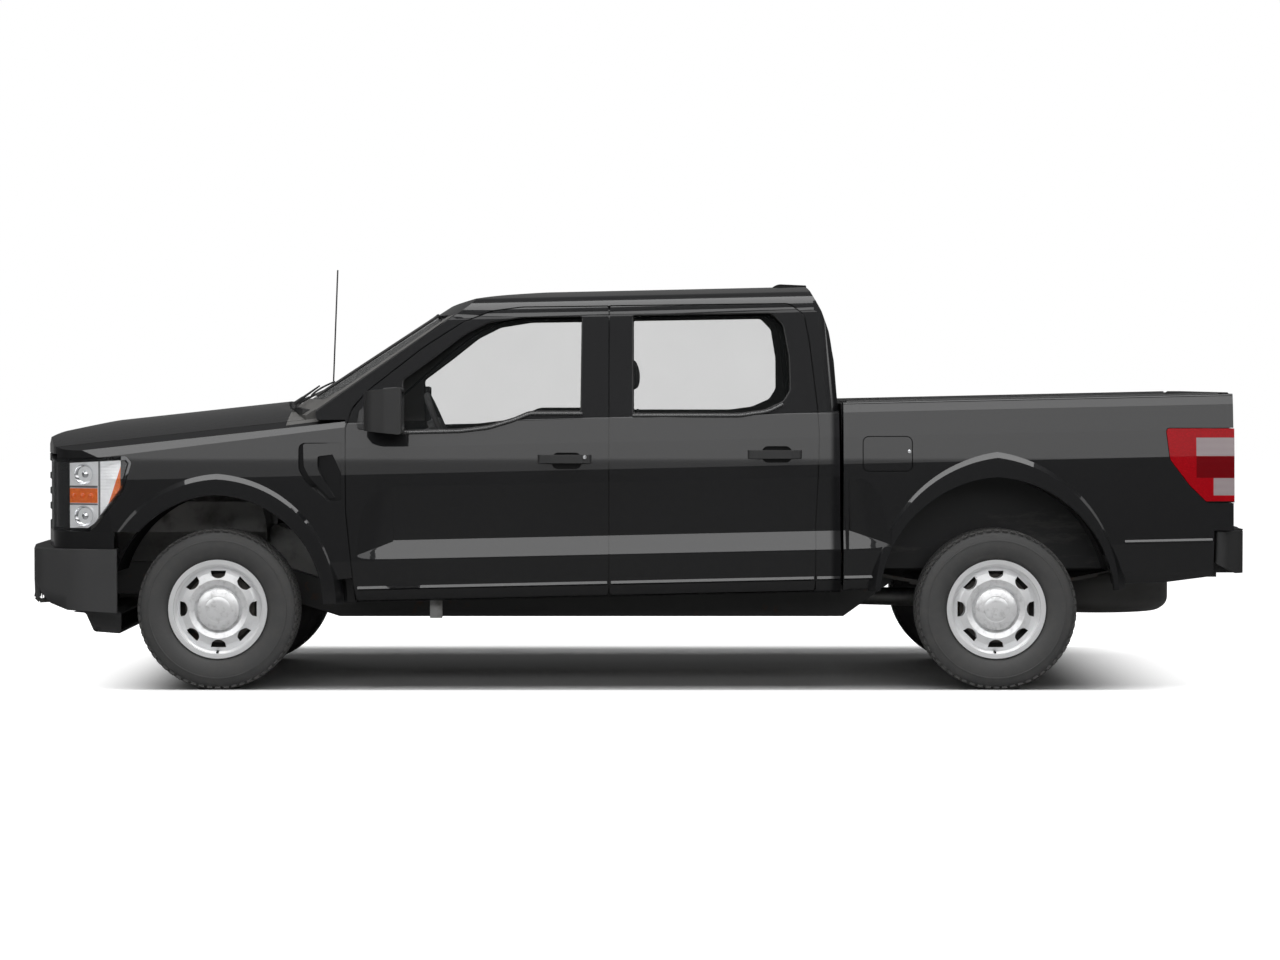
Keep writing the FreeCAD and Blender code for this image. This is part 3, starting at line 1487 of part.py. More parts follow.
def rim(name, x, y):
    """A pressed steel wheel: flanged barrel, dished disc with windows near its rim, hub and brake disc."""
    outer = "dims.rim_flange_diameter / 2"
    seat = "dims.bead_diameter / 2 - dims.seat_gap"
    inner = "dims.bead_diameter / 2 - dims.rim_wall"
    edge = "dims.rim_half_width"
    bore = "dims.hub_bore_diameter / 2"
    brake = "dims.brake_disc_diameter / 2"
    corners = [
        (f"-{edge}", outer),
        ("-93.6", outer),
        ("-93.6", seat),
        ("93.6", seat),
        ("93.6", outer),
        (edge, outer),
        (edge, inner),
        ("-50", inner),
        ("-50", "196"),
        ("-64", "170"),
        ("-70", "140"),
        ("-62", "118"),
        ("-46", "106"),
        ("-46", "74"),
        ("-8", "74"),
        ("-8", brake),
        ("18", brake),
        ("18", bore),
        ("-62", bore),
        ("-62", "0"),
        ("-92", "0"),
        ("-89", "62"),
        ("-80", "dims.cap_diameter / 2 - 6"),
        ("-60", "dims.cap_diameter / 2 - 2"),
        ("-60", "dims.cap_diameter / 2 + 3"),
        ("-72", "114"),
        ("-81", "140"),
        ("-75", "174"),
        ("-62", "200"),
        ("-72", inner),
        (f"-{edge}", inner),
    ]
    body = turned(name, corners, "YZ_Plane")
    window = new_sketch(body, name + "WindowSketch", "XZ_Plane")
    across = evaluate("dims.wheel_window_width / 2")
    mean = evaluate("dims.wheel_window_radius")
    tall = evaluate("dims.wheel_window_height / 2")
    # a D: flat towards the rim, bowed towards the hub
    points = [
        Vector(-across, mean + tall, 0),
        Vector(across, mean + tall, 0),
        Vector(across * 0.86, mean - tall * 0.2, 0),
        Vector(-across * 0.86, mean - tall * 0.2, 0),
    ]
    window.addGeometry(Part.LineSegment(points[0], points[1]), False)
    window.addGeometry(Part.LineSegment(points[1], points[2]), False)
    window.addGeometry(Part.Arc(points[3], Vector(0, mean - tall, 0), points[2]), False)
    window.addGeometry(Part.LineSegment(points[3], points[0]), False)
    window.addConstraint(Sketcher.Constraint("Coincident", 0, 2, 1, 1))
    window.addConstraint(Sketcher.Constraint("Coincident", 2, 2, 1, 2))
    window.addConstraint(Sketcher.Constraint("Coincident", 2, 1, 3, 1))
    window.addConstraint(Sketcher.Constraint("Coincident", 3, 2, 0, 1))
    high = "dims.wheel_window_radius + dims.wheel_window_height / 2"
    for edge_index, sign in ((0, "-"), (1, "")):
        wide = f"{sign}dims.wheel_window_width / 2"
        bind(window, Sketcher.Constraint("DistanceX", -1, 1, edge_index, 1, evaluate(wide)), wide)
        bind(window, Sketcher.Constraint("DistanceY", -1, 1, edge_index, 1, mean + tall), high)
    cutout = body.newObject("PartDesign::Pocket", name + "Window")
    cutout.Profile = window
    cutout.Type = "Length"
    cutout.Length = 90
    cutout.setExpression("Length", "dims.rim_half_width - 12")
    cutout.Reversed = True
    doc.recompute()
    pattern = body.newObject("PartDesign::PolarPattern", name + "Windows")
    pattern.Originals = [cutout]
    pattern.Axis = (origin_plane(body, "Y_Axis"), [""])
    pattern.Angle = 360
    pattern.setExpression("Occurrences", "dims.wheel_window_count")
    body.Tip = pattern
    body.setExpression("Placement.Base.x", x)
    body.setExpression("Placement.Base.y", y)
    body.setExpression("Placement.Base.z", "dims.tyre_diameter / 2")
    return body


FRONT_AXLE = "-dims.overall_length / 2 + dims.front_overhang"
REAR_AXLE = f"{FRONT_AXLE} + dims.wheelbase"
for end, x, track in (("front", FRONT_AXLE, "dims.front_track"), ("rear", REAR_AXLE, "dims.rear_track")):
    y = f"-{track} / 2"
    title = end.title()
    left_tyre = keep(f"tyre_{end}_left", tyre(f"{title}TyreLeft", x, y))
    mirror(f"{title}TyreRight", left_tyre, f"tyre_{end}_right")
    left_rim = keep(f"rim_{end}_left", rim(f"{title}RimLeft", x, y))
    mirror(f"{title}RimRight", left_rim, f"rim_{end}_right")

# Ladder frame: two channel-deep rails that drop behind the front wheels and climb over the rear axle
FRAME_LINE = [
    ("-dims.overall_length / 2 + 190", "dims.rail_front_z"),
    (f"{FRONT_AXLE} + 195", "dims.rail_front_z"),
    (f"{FRONT_AXLE} + 540", "dims.rail_mid_z"),
    (f"{REAR_AXLE} - 700", "dims.rail_mid_z"),
    (f"{REAR_AXLE} - 390", "dims.rail_rear_z"),
    (f"{REAR_AXLE} + 400", "dims.rail_rear_z"),
    ("dims.overall_length / 2 - 180", "dims.rail_rear_z"),
]
rail_corners = [(x, f"{z} + dims.rail_height / 2") for x, z in FRAME_LINE]
rail_corners += [(x, f"{z} - dims.rail_height / 2") for x, z in reversed(FRAME_LINE)]
rail = padded("FrameRail", "XZ_Plane", rail_corners, "dims.rail_width")
rail.setExpression("Placement.Base.y", "-dims.rail_half_gap")
rail_twin = mirror("FrameRailTwin", rail)
cross_members = [rail, rail_twin]
# Each member's front edge, its width along the truck, its foot and its top
CROSS_MEMBERS = [
    (f"{FRONT_AXLE} - 700", "90", "466.25", "543.75"),
    (f"{FRONT_AXLE} - 60", "200", "426.25", "503.75"),
    (f"{FRONT_AXLE} + 900", "70", "320", "385"),
    (f"{REAR_AXLE} - 1000", "70", "319", "350"),
    (f"{REAR_AXLE} + 530", "70", "579.25", "656.75"),
    ("dims.overall_length / 2 - 280", "90", "559.25", "636.75"),
]
for number, (x, wide, foot, top) in enumerate(CROSS_MEMBERS, start=1):
    corner = (x, "-dims.rail_half_gap - 10", foot)
    size = (wide, "2 * dims.rail_half_gap + 20", f"{top} - {foot}")
    cross_members.append(box(f"CrossMember{number}", corner, size))
# Horns that carry the bumpers, and the ball mount's receiver under the tail
HORN_Y = (-d.rail_half_gap - 62, -d.rail_half_gap - 8)


def horns():
    """Left horns, shaped to stand off the inner faces of the two bumpers."""
    front = block(nose_end_x, nose_end_x + 208, *HORN_Y, d.rail_front_z - 40, d.rail_front_z + 50)
    front = front.common(plan_prism(bumper_plan(d.bumper_wall + d.seat_gap), 0, 800))
    rear = block(tail_end_x - 220, tail_end_x, *HORN_Y, d.rail_rear_z - 30, d.rail_rear_z + 40)
    rear = rear.common(plan_prism(rear_bumper_hollow(d.seat_gap), 0, 800))
    return [front, rear]


for number, shape in enumerate(horns(), start=1):
    horn = place_shape(f"Horn{number}", shape)
    cross_members += [horn, mirror(f"Horn{number}Twin", horn)]
receiver = padded(
    "Receiver",
    "YZ_Plane",
    [("-38", "485"), ("38", "485"), ("38", "561"), ("-38", "561")],
    "230",
)
receiver_sketch = new_sketch(receiver, "ReceiverBoreSketch", "YZ_Plane")
outline(receiver_sketch, [("-26", "497"), ("26", "497"), ("26", "549"), ("-26", "549")])
receiver_bore = receiver.newObject("PartDesign::Pocket", "ReceiverBore")
receiver_bore.Profile = receiver_sketch
receiver_bore.Type = "ThroughAll"
receiver_bore.Reversed = True
receiver.setExpression("Placement.Base.x", "dims.overall_length / 2 - 270")
cross_members.append(receiver)
ladder_frame = fuse("LadderFrame", cross_members)

doc.recompute()

# Rear axle: tube, differential, brake flanges and spindles
tube_start = (REAR_AXLE, "-780", "dims.tyre_diameter / 2")
axle_tube = rod("AxleTube", "y", tube_start, "dims.axle_tube_radius", "1560")
spindle_length = "dims.rear_track + 84"
spindle = rod(
    "AxleSpindle",
    "y",
    (REAR_AXLE, "-dims.rear_track / 2 - 42", "dims.tyre_diameter / 2"),
    "dims.hub_bore_diameter / 2 - dims.seat_gap",
    spindle_length,
)
flange_left = rod("AxleFlange", "y", (REAR_AXLE, "-798", "dims.tyre_diameter / 2"), "96", "24")
flange_right = mirror("AxleFlangeTwin", flange_left)
differential = doc.addObject("Part::Sphere", "Differential")
differential.setExpression("Radius", "dims.differential_radius")
differential.setExpression("Placement.Base.x", REAR_AXLE)
differential.setExpression("Placement.Base.z", "dims.tyre_diameter / 2")
nose = rod("DifferentialNose", "x", (f"{REAR_AXLE} - 300", "0", "dims.tyre_diameter / 2"), "62", "300")
spring_seat = box(
    "SpringSeat",
    (f"{REAR_AXLE} - 60", "-dims.spring_half_gap - 36", "dims.tyre_diameter / 2 + 20"),
    ("120", "72", "dims.axle_tube_radius - 4"),
)
spring_seat_twin = mirror("SpringSeatTwin", spring_seat)
shock_bracket = box(
    "ShockBracket",
    (REAR_AXLE, "-625", "dims.tyre_diameter / 2 - 40"),
    ("100 - 24 - dims.seat_gap", "50", "50"),
)
shock_bracket_twin = mirror("ShockBracketTwin", shock_bracket)
fuse(
    "RearAxle",
    [
        axle_tube, spindle, flange_left, flange_right, differential, nose, spring_seat, spring_seat_twin,
        shock_bracket, shock_bracket_twin,
    ],
    "rear_axle",
)

# Leaf springs: a clamped pack of arcs over the axle, eyes at both ends, and a shackle at the back
AXLE_TOP_Z = axle_z + 58 + d.seat_gap


def leaf_pack():
    leaves = []
    for index in range(int(d.leaf_count)):
        half_span = d.leaf_half_span * (1 - 0.22 * index)
        z0 = AXLE_TOP_Z + (d.leaf_count - index) * d.leaf_thickness
        lift = d.leaf_camber * (half_span / d.leaf_half_span) ** 2
        thick = d.leaf_thickness
        a = Vector(rear_axle_x - half_span, 0, z0 + lift)
        b = Vector(rear_axle_x, 0, z0)
        c = Vector(rear_axle_x + half_span, 0, z0 + lift)
        down = Vector(0, 0, -thick)
        edges = [
            Part.Arc(a, b, c).toShape(),
            Part.LineSegment(c, c + down).toShape(),
            Part.Arc(c + down, b + down, a + down).toShape(),
            Part.LineSegment(a + down, a).toShape(),
        ]
        leaf = Part.Face(Part.Wire(edges))
        leaf.translate(Vector(0, -d.spring_half_gap - d.leaf_width / 2, 0))
        leaves.append(leaf.extrude(Vector(0, d.leaf_width, 0)))
    eye_z = AXLE_TOP_Z + d.leaf_count * d.leaf_thickness + d.leaf_camber + 12
    y0 = -d.spring_half_gap - d.leaf_width / 2
    eyes = []
    for x in (rear_axle_x - d.leaf_half_span, rear_axle_x + d.leaf_half_span):
        eyes.append(Part.makeCylinder(24, d.leaf_width, Vector(x, y0, eye_z), Vector(0, 1, 0)))
    rail_side = -d.rail_half_gap - d.rail_width - d.seat_gap
    hanger = block(
        rear_axle_x - d.leaf_half_span - 40, rear_axle_x - d.leaf_half_span + 20,
        y0 + 8, rail_side, eye_z - 10, eye_z + 60,
    )
    shackle = block(
        rear_axle_x + d.leaf_half_span - 16, rear_axle_x + d.leaf_half_span + 16,
        y0 + 8, rail_side, eye_z - 10, d.rail_rear_z + 20,
    )
    return largest(joined(leaves + eyes + [hanger, shackle]))


SHOCK_Y = -600


def rear_shock():
    """A rear damper from a bracket on the axle up to a pin on the rail's side."""
    low = Vector(rear_axle_x + 100, SHOCK_Y, axle_z - 30)
    high = Vector(rear_axle_x + 362, SHOCK_Y, d.rail_rear_z + 137)
    run = high - low
    body = Part.makeCylinder(28, run.Length * 0.42, low, run)
    stem = Part.makeCylinder(34, run.Length * 0.3, low + run * 0.45, run)
    rod_middle = Part.makeCylinder(12, run.Length, low, run)
    eye = Part.makeCylinder(24, 50, low + Vector(0, -25, 0), Vector(0, 1, 0))
    rail_side = d.rail_half_gap + d.rail_width + d.seat_gap
    pin = Part.makeCylinder(16, 110, high + Vector(0, -30, 0), Vector(0, 1, 0))
    bracket = block(high.x - 22, high.x + 22, -rail_side - 35, -rail_side, d.rail_rear_z + 20, high.z + 20)
    return joined([body, stem, rod_middle, eye, pin, bracket])


def lower_arm():
    """A front lower arm: a wide-footed wishbone from the frame to the knuckle's lower joint."""
    rail_side = -d.rail_half_gap - d.rail_width
    tip_y = -KINGPIN_Y - 24
    plan = [
        (front_axle_x - 200, rail_side + 40, 20),
        (front_axle_x + 200, rail_side + 40, 20),
        (front_axle_x + 200, rail_side - 10, 20),
        (front_axle_x + 40, -700, 60),
        (front_axle_x + 34, tip_y, 26),
        (front_axle_x - 34, tip_y, 26),
        (front_axle_x - 40, -700, 60),
        (front_axle_x - 200, rail_side - 10, 20),
    ]
    opening = [
        (front_axle_x - 120, rail_side - 8, 16),
        (front_axle_x + 120, rail_side - 8, 16),
        (front_axle_x + 26, -660, 20),
        (front_axle_x - 26, -660, 20),
    ]
    arm = plan_prism(plan, LOWER_JOINT_Z - 30, LOWER_JOINT_Z)
    return arm.cut(plan_prism(opening, 0, 600))


def upper_arm():
    rail_side = -d.rail_half_gap - d.rail_width
    tip_y = -KINGPIN_Y - 22
    plan = [
        (front_axle_x - 130, rail_side - d.seat_gap, 16),
        (front_axle_x + 130, rail_side - d.seat_gap, 16),
        (front_axle_x + 36, -690, 60),
        (front_axle_x + 28, tip_y, 22),
        (front_axle_x - 28, tip_y, 22),
        (front_axle_x - 36, -690, 60),
    ]
    opening = [
        (front_axle_x - 80, rail_side - 34, 14),
        (front_axle_x + 80, rail_side - 34, 14),
        (front_axle_x + 20, -650, 16),
        (front_axle_x - 20, -650, 16),
    ]
    arm = plan_prism(plan, UPPER_JOINT_Z, UPPER_JOINT_Z + 24)
    return arm.cut(plan_prism(opening, 0, 900))


KINGPIN_Y = 800
LOWER_JOINT_Z = 268
UPPER_JOINT_Z = 508
bracket_top = d.rail_front_z - d.rail_height / 2 - d.seat_gap
bracket_y = (-d.rail_half_gap - 60, -d.rail_half_gap - 20)
arm_brackets = []
for start, stop in ((-190, -60), (125, 190)):
    arm_brackets.append(
        block(front_axle_x + start, front_axle_x + stop, *bracket_y, LOWER_JOINT_Z - 10, bracket_top)
    )
tower_foot = Vector(front_axle_x, -588, LOWER_JOINT_Z - 8)
tower_head = Vector(front_axle_x, -548, 600)
tower_run = tower_head - tower_foot
spring = Part.makeCylinder(42, tower_run.Length, tower_foot, tower_run)
rail_side_y = -d.rail_half_gap - d.rail_width - d.seat_gap
tower_top = block(front_axle_x - 70, front_axle_x + 70, -600, rail_side_y, 560, 600)
tower_top = tower_top.fuse(block(front_axle_x - 70, front_axle_x + 70, -600, -500, 560, 620))
strut = joined([lower_arm()] + arm_brackets + [spring, tower_top])
suspension_left = [leaf_pack(), upper_arm(), strut, rear_shock()]
suspension = Part.makeCompound(suspension_left + [flipped(piece) for piece in suspension_left])
suspension_feature = place_shape("Suspension", suspension)

# Front knuckle: upright, carrier, spindle and steering arm
upright = box(
    "KnuckleUpright",
    (f"{FRONT_AXLE} - 30", "-822", f"{LOWER_JOINT_Z} + dims.seat_gap"),
    ("60", "44", f"{UPPER_JOINT_Z - LOWER_JOINT_Z} - 2 * dims.seat_gap"),
)
carrier = rod("KnuckleCarrier", "y", (FRONT_AXLE, "-836", "dims.tyre_diameter / 2"), "64", "60")
stub = rod(
    "KnuckleSpindle",
    "y",
    (FRONT_AXLE, "-dims.front_track / 2 - 42", "dims.tyre_diameter / 2"),
    "dims.hub_bore_diameter / 2 - dims.seat_gap",
    "90",
)
steering_arm = box("KnuckleArm", (f"{FRONT_AXLE} + 10", "-800", "318"), ("104", "40", "26"))
knuckle_left = fuse("KnuckleLeft", [upright, carrier, stub, steering_arm], "knuckle_left")
mirror("KnuckleRight", knuckle_left, "knuckle_right")

# Steering gear: a housing fixed across the frame with the rack and tie rods sliding through it
RACK_X = f"{FRONT_AXLE} + 100"
rack_rod = rod("RackRod", "y", (RACK_X, "-746", "331"), "12", "1492")
keep("steering_rack", rack_rod)
housing_outer = rod("RackHousingOuter", "y", (RACK_X, "-330", "331"), "34", "660")
housing_bore = rod("RackHousingBore", "y", (RACK_X, "-340", "331"), "12 + dims.seat_gap", "680")
housing_corner = (f"{FRONT_AXLE} + 70", "-200", "355")
housing_arm = box("RackHousingMount", housing_corner, ("60", "400", "71.25 - dims.seat_gap"))
housing_solid = fuse("RackHousingSolid", [housing_outer, housing_arm])
steering_gear = cut("RackHousing", housing_solid, housing_bore)
suspension_group = doc.addObject("Part::Compound", "SuspensionGroup")
suspension_group.Links = [suspension_feature, steering_gear]
keep("suspension", suspension_group)

# Engine: one plain block, with its sump, under the bonnet
def engine():
    side = [
        (-2560, 560, 30), (-2560, 960, 40), (-2480, 1040, 60), (-2050, 1060, 40), (-1880, 1000, 40),
        (-1820, 760, 40), (-1820, 600, 30), (-1960, 520, 30), (-2100, 470, 20), (-2440, 470, 20),
    ]
    body = side_prism(side, -270, 270)
    bank_corners = [
        (-150, 400, 0),
        (-300, 800, 30),
        (-170, 1100, 30),
        (170, 1100, 30),
        (300, 800, 30),
        (150, 400, 0),
    ]
    banks = front_prism(bank_corners, -2700, -1700)
    sump_clear = block(-2060, -1700, -500, 500, 300, 505)
    mounts = block(-2260, -2160, -d.rail_half_gap + 0.3, d.rail_half_gap - 0.3, 560, 600)
    return joined([largest(body.common(banks).cut(sump_clear)), mounts])


place_shape("Engine", engine(), "engine")


def driveline():
    """Gearbox behind the engine and the shaft to the rear axle."""
    box_side = [(-1819.7, 560, 20), (-1819.7, 760, 30), (-1640, 700, 40), (-1200, 620, 40), (-1000, 590, 20),
                (-1000, 440, 20), (-1300, 420, 40), (-1640, 480, 40)]
    gearbox = side_prism(box_side, -130, 130)
    over_tail = block(-2000, -900, -200, 200, 470, 1000).cut(block(-2000, -1500, -200, 200, 0, 1000))
    gearbox = gearbox.cut(over_tail)
    shaft_start = Vector(-1010, 0, 450)
    shaft_end = Vector(rear_axle_x - 300 - 1.6, 0, axle_z)
    run = shaft_end - shaft_start
    shaft = Part.makeCylinder(45, run.Length, shaft_start, run)
    return joined([gearbox, shaft])


place_shape("Driveline", driveline(), "driveline")

# Exhaust on the right: down pipe, silencer and tail pipe that turns out behind the rear wheel
def pipe(points, radius):
    """A bent pipe through its corner points, rounded at each bend."""
    corners = []
    for point in points:
        corners.append(Vector(*point))
    parts = []
    for start, stop in zip(corners, corners[1:]):
        run = stop - start
        parts.append(Part.makeCylinder(radius, run.Length, start, run))
    for corner in corners[1:-1]:
        parts.append(Part.makeSphere(radius, corner))
    return joined(parts)


def exhaust():
    route = [
        (-1760, 215, 560), (-1500, 250, 440), (-1100, 300, 430), (-250, 300, 430), (60, 300, 400),
        (900, 340, 400), (1180, 350, 560), (1480, 350, 640), (1990, 350, 640), (2060, 385, 470),
        (2330, 700, 420), (2440, 830, 420),
    ]
    silencer = Part.makeCylinder(88, 620, Vector(60, 300, 400), Vector(1, 0, 0))
    hanger = block(300, 330, 300, d.rail_half_gap - d.seat_gap, 396, 430)
    rear_hanger = block(1600, 1630, 350, d.rail_half_gap - d.seat_gap, 630, 660)
    return joined([pipe(route, 32), silencer, hanger, rear_hanger])


place_shape("Exhaust", exhaust(), "exhaust")

# Fuel tank inside the left rail
def fuel_tank():
    section = [(-392, 330, 40), (-392, 480, 40), (-140, 480, 40), (-140, 330, 40)]
    tank = front_prism(section, -50, 690)
    strap = block(200, 240, -d.rail_half_gap + d.seat_gap, -300, 380, 420)
    return joined([tank, strap])


place_shape("FuelTank", fuel_tank(), "fuel_tank")


def front_liner():
    """The arched lining over a front wheel."""
    wall = d.liner_wall
    ring_out = ellipse_prism(
        front_axle_x, d.front_arch_reach + wall, d.front_arch_rise + wall, -1000, -d.liner_half_width
    )
    liner_y = -d.liner_half_width + 1
    ring_in = ellipse_prism(front_axle_x, d.front_arch_reach, d.front_arch_rise, -1001, liner_y)
    low = block(-3200, -1000, -beyond_y, 0, -10, 520)
    ahead = block(-3200, -2461, -beyond_y, 0, 0, d.bumper_top_z)
    liner = trimmed(ring_out, [ring_in, low, ahead])
    return largest(liner.common(clip_volume(d.fender_wall + d.seat_gap)))


place_shape("WheelLiners", mirrored_pair(front_liner()), "wheel_liners")


def seat(x0, y0, y1, back_top):
    """A seat in side view: cushion, raked backrest and base, with rounded edges."""
    side = [
        (x0, 700, 30), (x0 - 6, 850, 60), (x0 + 60, 880, 60), (x0 + 430, 850, 60), (x0 + 560, back_top, 70),
        (x0 + 690, back_top - 10, 50), (x0 + 590, 860, 80), (x0 + 560, 680, 40),
    ]
    body = side_prism(side, y0, y1)
    base = block(x0 + 60, x0 + 500, y0 + 60, y1 - 60, d.cab_floor_z + d.seat_gap, 760)
    head = [
        (x0 + 590, back_top + 40, 30), (x0 + 606, back_top + 205, 40), (x0 + 700, back_top + 200, 40),
        (x0 + 710, back_top + 40, 30),
    ]
    middle = (y0 + y1) / 2
    half_head = min(140, (y1 - y0) * 0.3)
    rest = side_prism(head, middle - half_head, middle + half_head)
    stalk = block(x0 + 632, x0 + 656, middle - 60, middle + 60, back_top - 40, back_top + 80)
    return joined([body, base, rest, stalk])


def rear_bench():
    side = [
        (300, 720, 30), (296, 850, 50), (340, 880, 60), (700, 850, 60), (770, 1330, 60),
        (880, 1325, 50), (850, 860, 60), (840, 700, 30),
    ]
    bench = side_prism(side, -680, 680)
    base = block(380, 780, -600, 600, d.cab_floor_z + d.seat_gap, 760)
    heads = []
    for middle in (-420, 420):
        head = [(782, 1370, 24), (790, 1490, 40), (872, 1486, 40), (880, 1370, 24)]
        heads.append(side_prism(head, middle - 130, middle + 130))
        heads.append(block(812, 836, middle - 50, middle + 50, 1300, 1400))
    return joined([bench, base] + heads)


front_seats = [seat(-685, -700, -170, 1375), seat(-685, 170, 700, 1375)]
place_shape("Seats", Part.makeCompound(front_seats + [rear_bench()]), "seats")


def dashboard():
    side = [
        (-1425, 980, 30), (-1600, 1180, 40), (-1600, 1300, 20), (-1480, 1318, 40), (-1240, 1250, 80),
        (-1170, 1170, 60), (-1180, 1010, 60), (-1330, 900, 60),
    ]
    panel = side_prism(side, -840, 840)
    column_start = Vector(-1300, -400, 1075)
    column_run = Vector(1, 0, 0.42)
    column = Part.makeCylinder(38, 330, column_start, column_run)
    foot_z = d.cab_floor_z + d.seat_gap
    console_side = [
        (-1300, foot_z, 0),
        (-1330, 1000, 20),
        (-1180, 1020, 20),
        (-1120, 620, 40),
        (-1120, foot_z, 0),
    ]
    console = side_prism(console_side, -140, 140)
    room = windscreen_round(d.windscreen_depth + d.panel_gap)
    fitted = joined([panel, console]).common(room)
    return joined([largest(fitted), column])


place_shape("Dashboard", dashboard(), "dashboard")

# Steering wheel: rim, three spokes and boss, on the column's line
wheel_rim = doc.addObject("Part::Torus", "SteeringRim")
wheel_rim.setExpression("Radius1", "dims.steering_wheel_radius")
wheel_rim.setExpression("Radius2", "dims.steering_grip_radius")
boss = rod("SteeringBoss", "z", ("0", "0", "-52"), "68", "46")
reach = "dims.steering_wheel_radius"
spokes = box("SteeringSpokes", (f"-{reach}", "-18", "-22"), (f"2 * {reach}", "36", "16"))
lower_spoke = box("SteeringLowerSpoke", ("-16", f"-{reach}", "-22"), ("32", reach, "16"))
steering_wheel = fuse("SteeringWheel", [wheel_rim, boss, spokes, lower_spoke], "steering_wheel")
column_slope = math.atan(0.42)
column_end = Vector(-1300, -400, 1075) + Vector(math.cos(column_slope), 0, math.sin(column_slope)) * 330
wheel_axis = Vector(math.cos(column_slope), 0, math.sin(column_slope))
wheel_turn = FreeCAD.Rotation(Vector(0, -1, 0), Vector(-wheel_axis.z, 0, wheel_axis.x), wheel_axis, "ZXY")
steering_wheel.Placement = FreeCAD.Placement(column_end + wheel_axis * (52 + d.seat_gap), wheel_turn)

# Radiator with its shroud, standing on the frame's first cross member
box("Radiator", (f"{FRONT_AXLE} - 690", "-380", "543.75 + dims.seat_gap"), ("60", "760", "500"))
radiator = doc.getObject("Radiator")
keep("radiator", radiator)

# Spare wheel slung under the bed, and its carrier
def spare_wheel():
    """The spare lies flat under the bed and hangs on a post from the frame's fifth cross member."""
    profile = [
        (0, 420, 0), (120, 420, 10), (215, 400, 20), (232, 330, 20), (330, 322, 60),
        (382, 360, 60), (382, 500, 60), (330, 540, 60), (232, 532, 20),
        (215, 440, 20), (120, 440, 10), (0, 440, 0),
    ]
    edges = rounded_edges(profile, lambda point: Vector(point.x, 0, point.y))
    body = Part.Face(Part.Wire(edges)).revolve(Vector(), Vector(0, 0, 1), 360)
    body.translate(Vector(SPARE_X, 0, 0))
    post = Part.makeCylinder(25, 579.25 - d.seat_gap - 430, Vector(SPARE_X, 0, 430))
    return joined([body, post])


SPARE_X = rear_axle_x + 565
place_shape("SpareWheel", spare_wheel(), "spare_wheel")

# Antenna on the right wing
antenna_foot = Part.makeCone(22, 10, 34, Vector(-1598, 918, 1262))
antenna_mast = Part.makeCylinder(4, 776, Vector(-1598, 918, 1270), Vector(0.04, 0, 1))
antenna = joined([antenna_foot, antenna_mast]).cut(flipped(clip_volume(-d.seat_gap)))
place_shape("Antenna", largest(antenna), "antenna")


def roof_lamp():
    """The stop lamp's low fairing at the back of the roof."""
    plan = [(660, -150, 60), (850, -128, 20), (850, 128, 20), (660, 150, 60)]
    side = [(640, 1900, 0), (700, 1944, 60), (846, 1938, 6), (850, 1870, 0), (640, 1850, 0)]
    body = plan_prism(plan, 1800, 2000).common(side_prism(side, -200, 200))
    cover = cab_volume(-d.seat_gap)
    return largest(trimmed(body, [cover, flipped(cover)]))


rear_lamps = [tail_lamp, flipped(tail_lamp), roof_lamp()]
place_shape("RearLamps", Part.makeCompound(rear_lamps), "rear_lamps")

# Mounts that carry the cab and the cargo box on the frame
def body_mounts():
    mounts = []
    cab_low = 495 - d.seat_gap
    rail_mid = -d.rail_half_gap - d.rail_width / 2
    rail_top = d.rail_mid_z + d.rail_height / 2
    for x in (-1330, -500, 700):
        mounts.append(Part.makeCylinder(38, cab_low - rail_top, Vector(x, rail_mid, rail_top)))
    rear_top = d.rail_rear_z + d.rail_height / 2
    for x in (1390, 2560):
        rake = math.atan(d.rake_slope)
        bed_low = (d.bed_floor_z - d.bed_panel_thickness) / math.cos(rake) + d.rake_slope * x
        outer_y = -632 if x < rear_axle_x + 560 else -790
        mounts.append(block(x, x + 60, outer_y, -d.rail_half_gap + 20, rear_top, bed_low - d.seat_gap))
    return mounts


frame_parts = [ladder_frame]
for number, shape in enumerate(body_mounts(), start=1):
    mount = place_shape(f"BodyMount{number}", shape)
    frame_parts += [mount, mirror(f"BodyMount{number}Twin", mount)]
fuse("FrameWithMounts", frame_parts, "ladder_frame")

# Checks, then the files
doc.recompute()
for item in doc.Objects:
    if "Invalid" in item.State or "Error" in item.State:
        raise RuntimeError(f"{item.Name} is in a failed state")
os.makedirs("parts", exist_ok=True)
for name, item in pieces.items():
    shape = item.Shape
    if shape.isNull() or not shape.isValid():
        raise RuntimeError(f"{name} has no sound shape")
    shape.exportStep(f"parts/{name}.step")
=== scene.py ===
import math

import bmesh
import bpy
from mathutils import Matrix, Vector


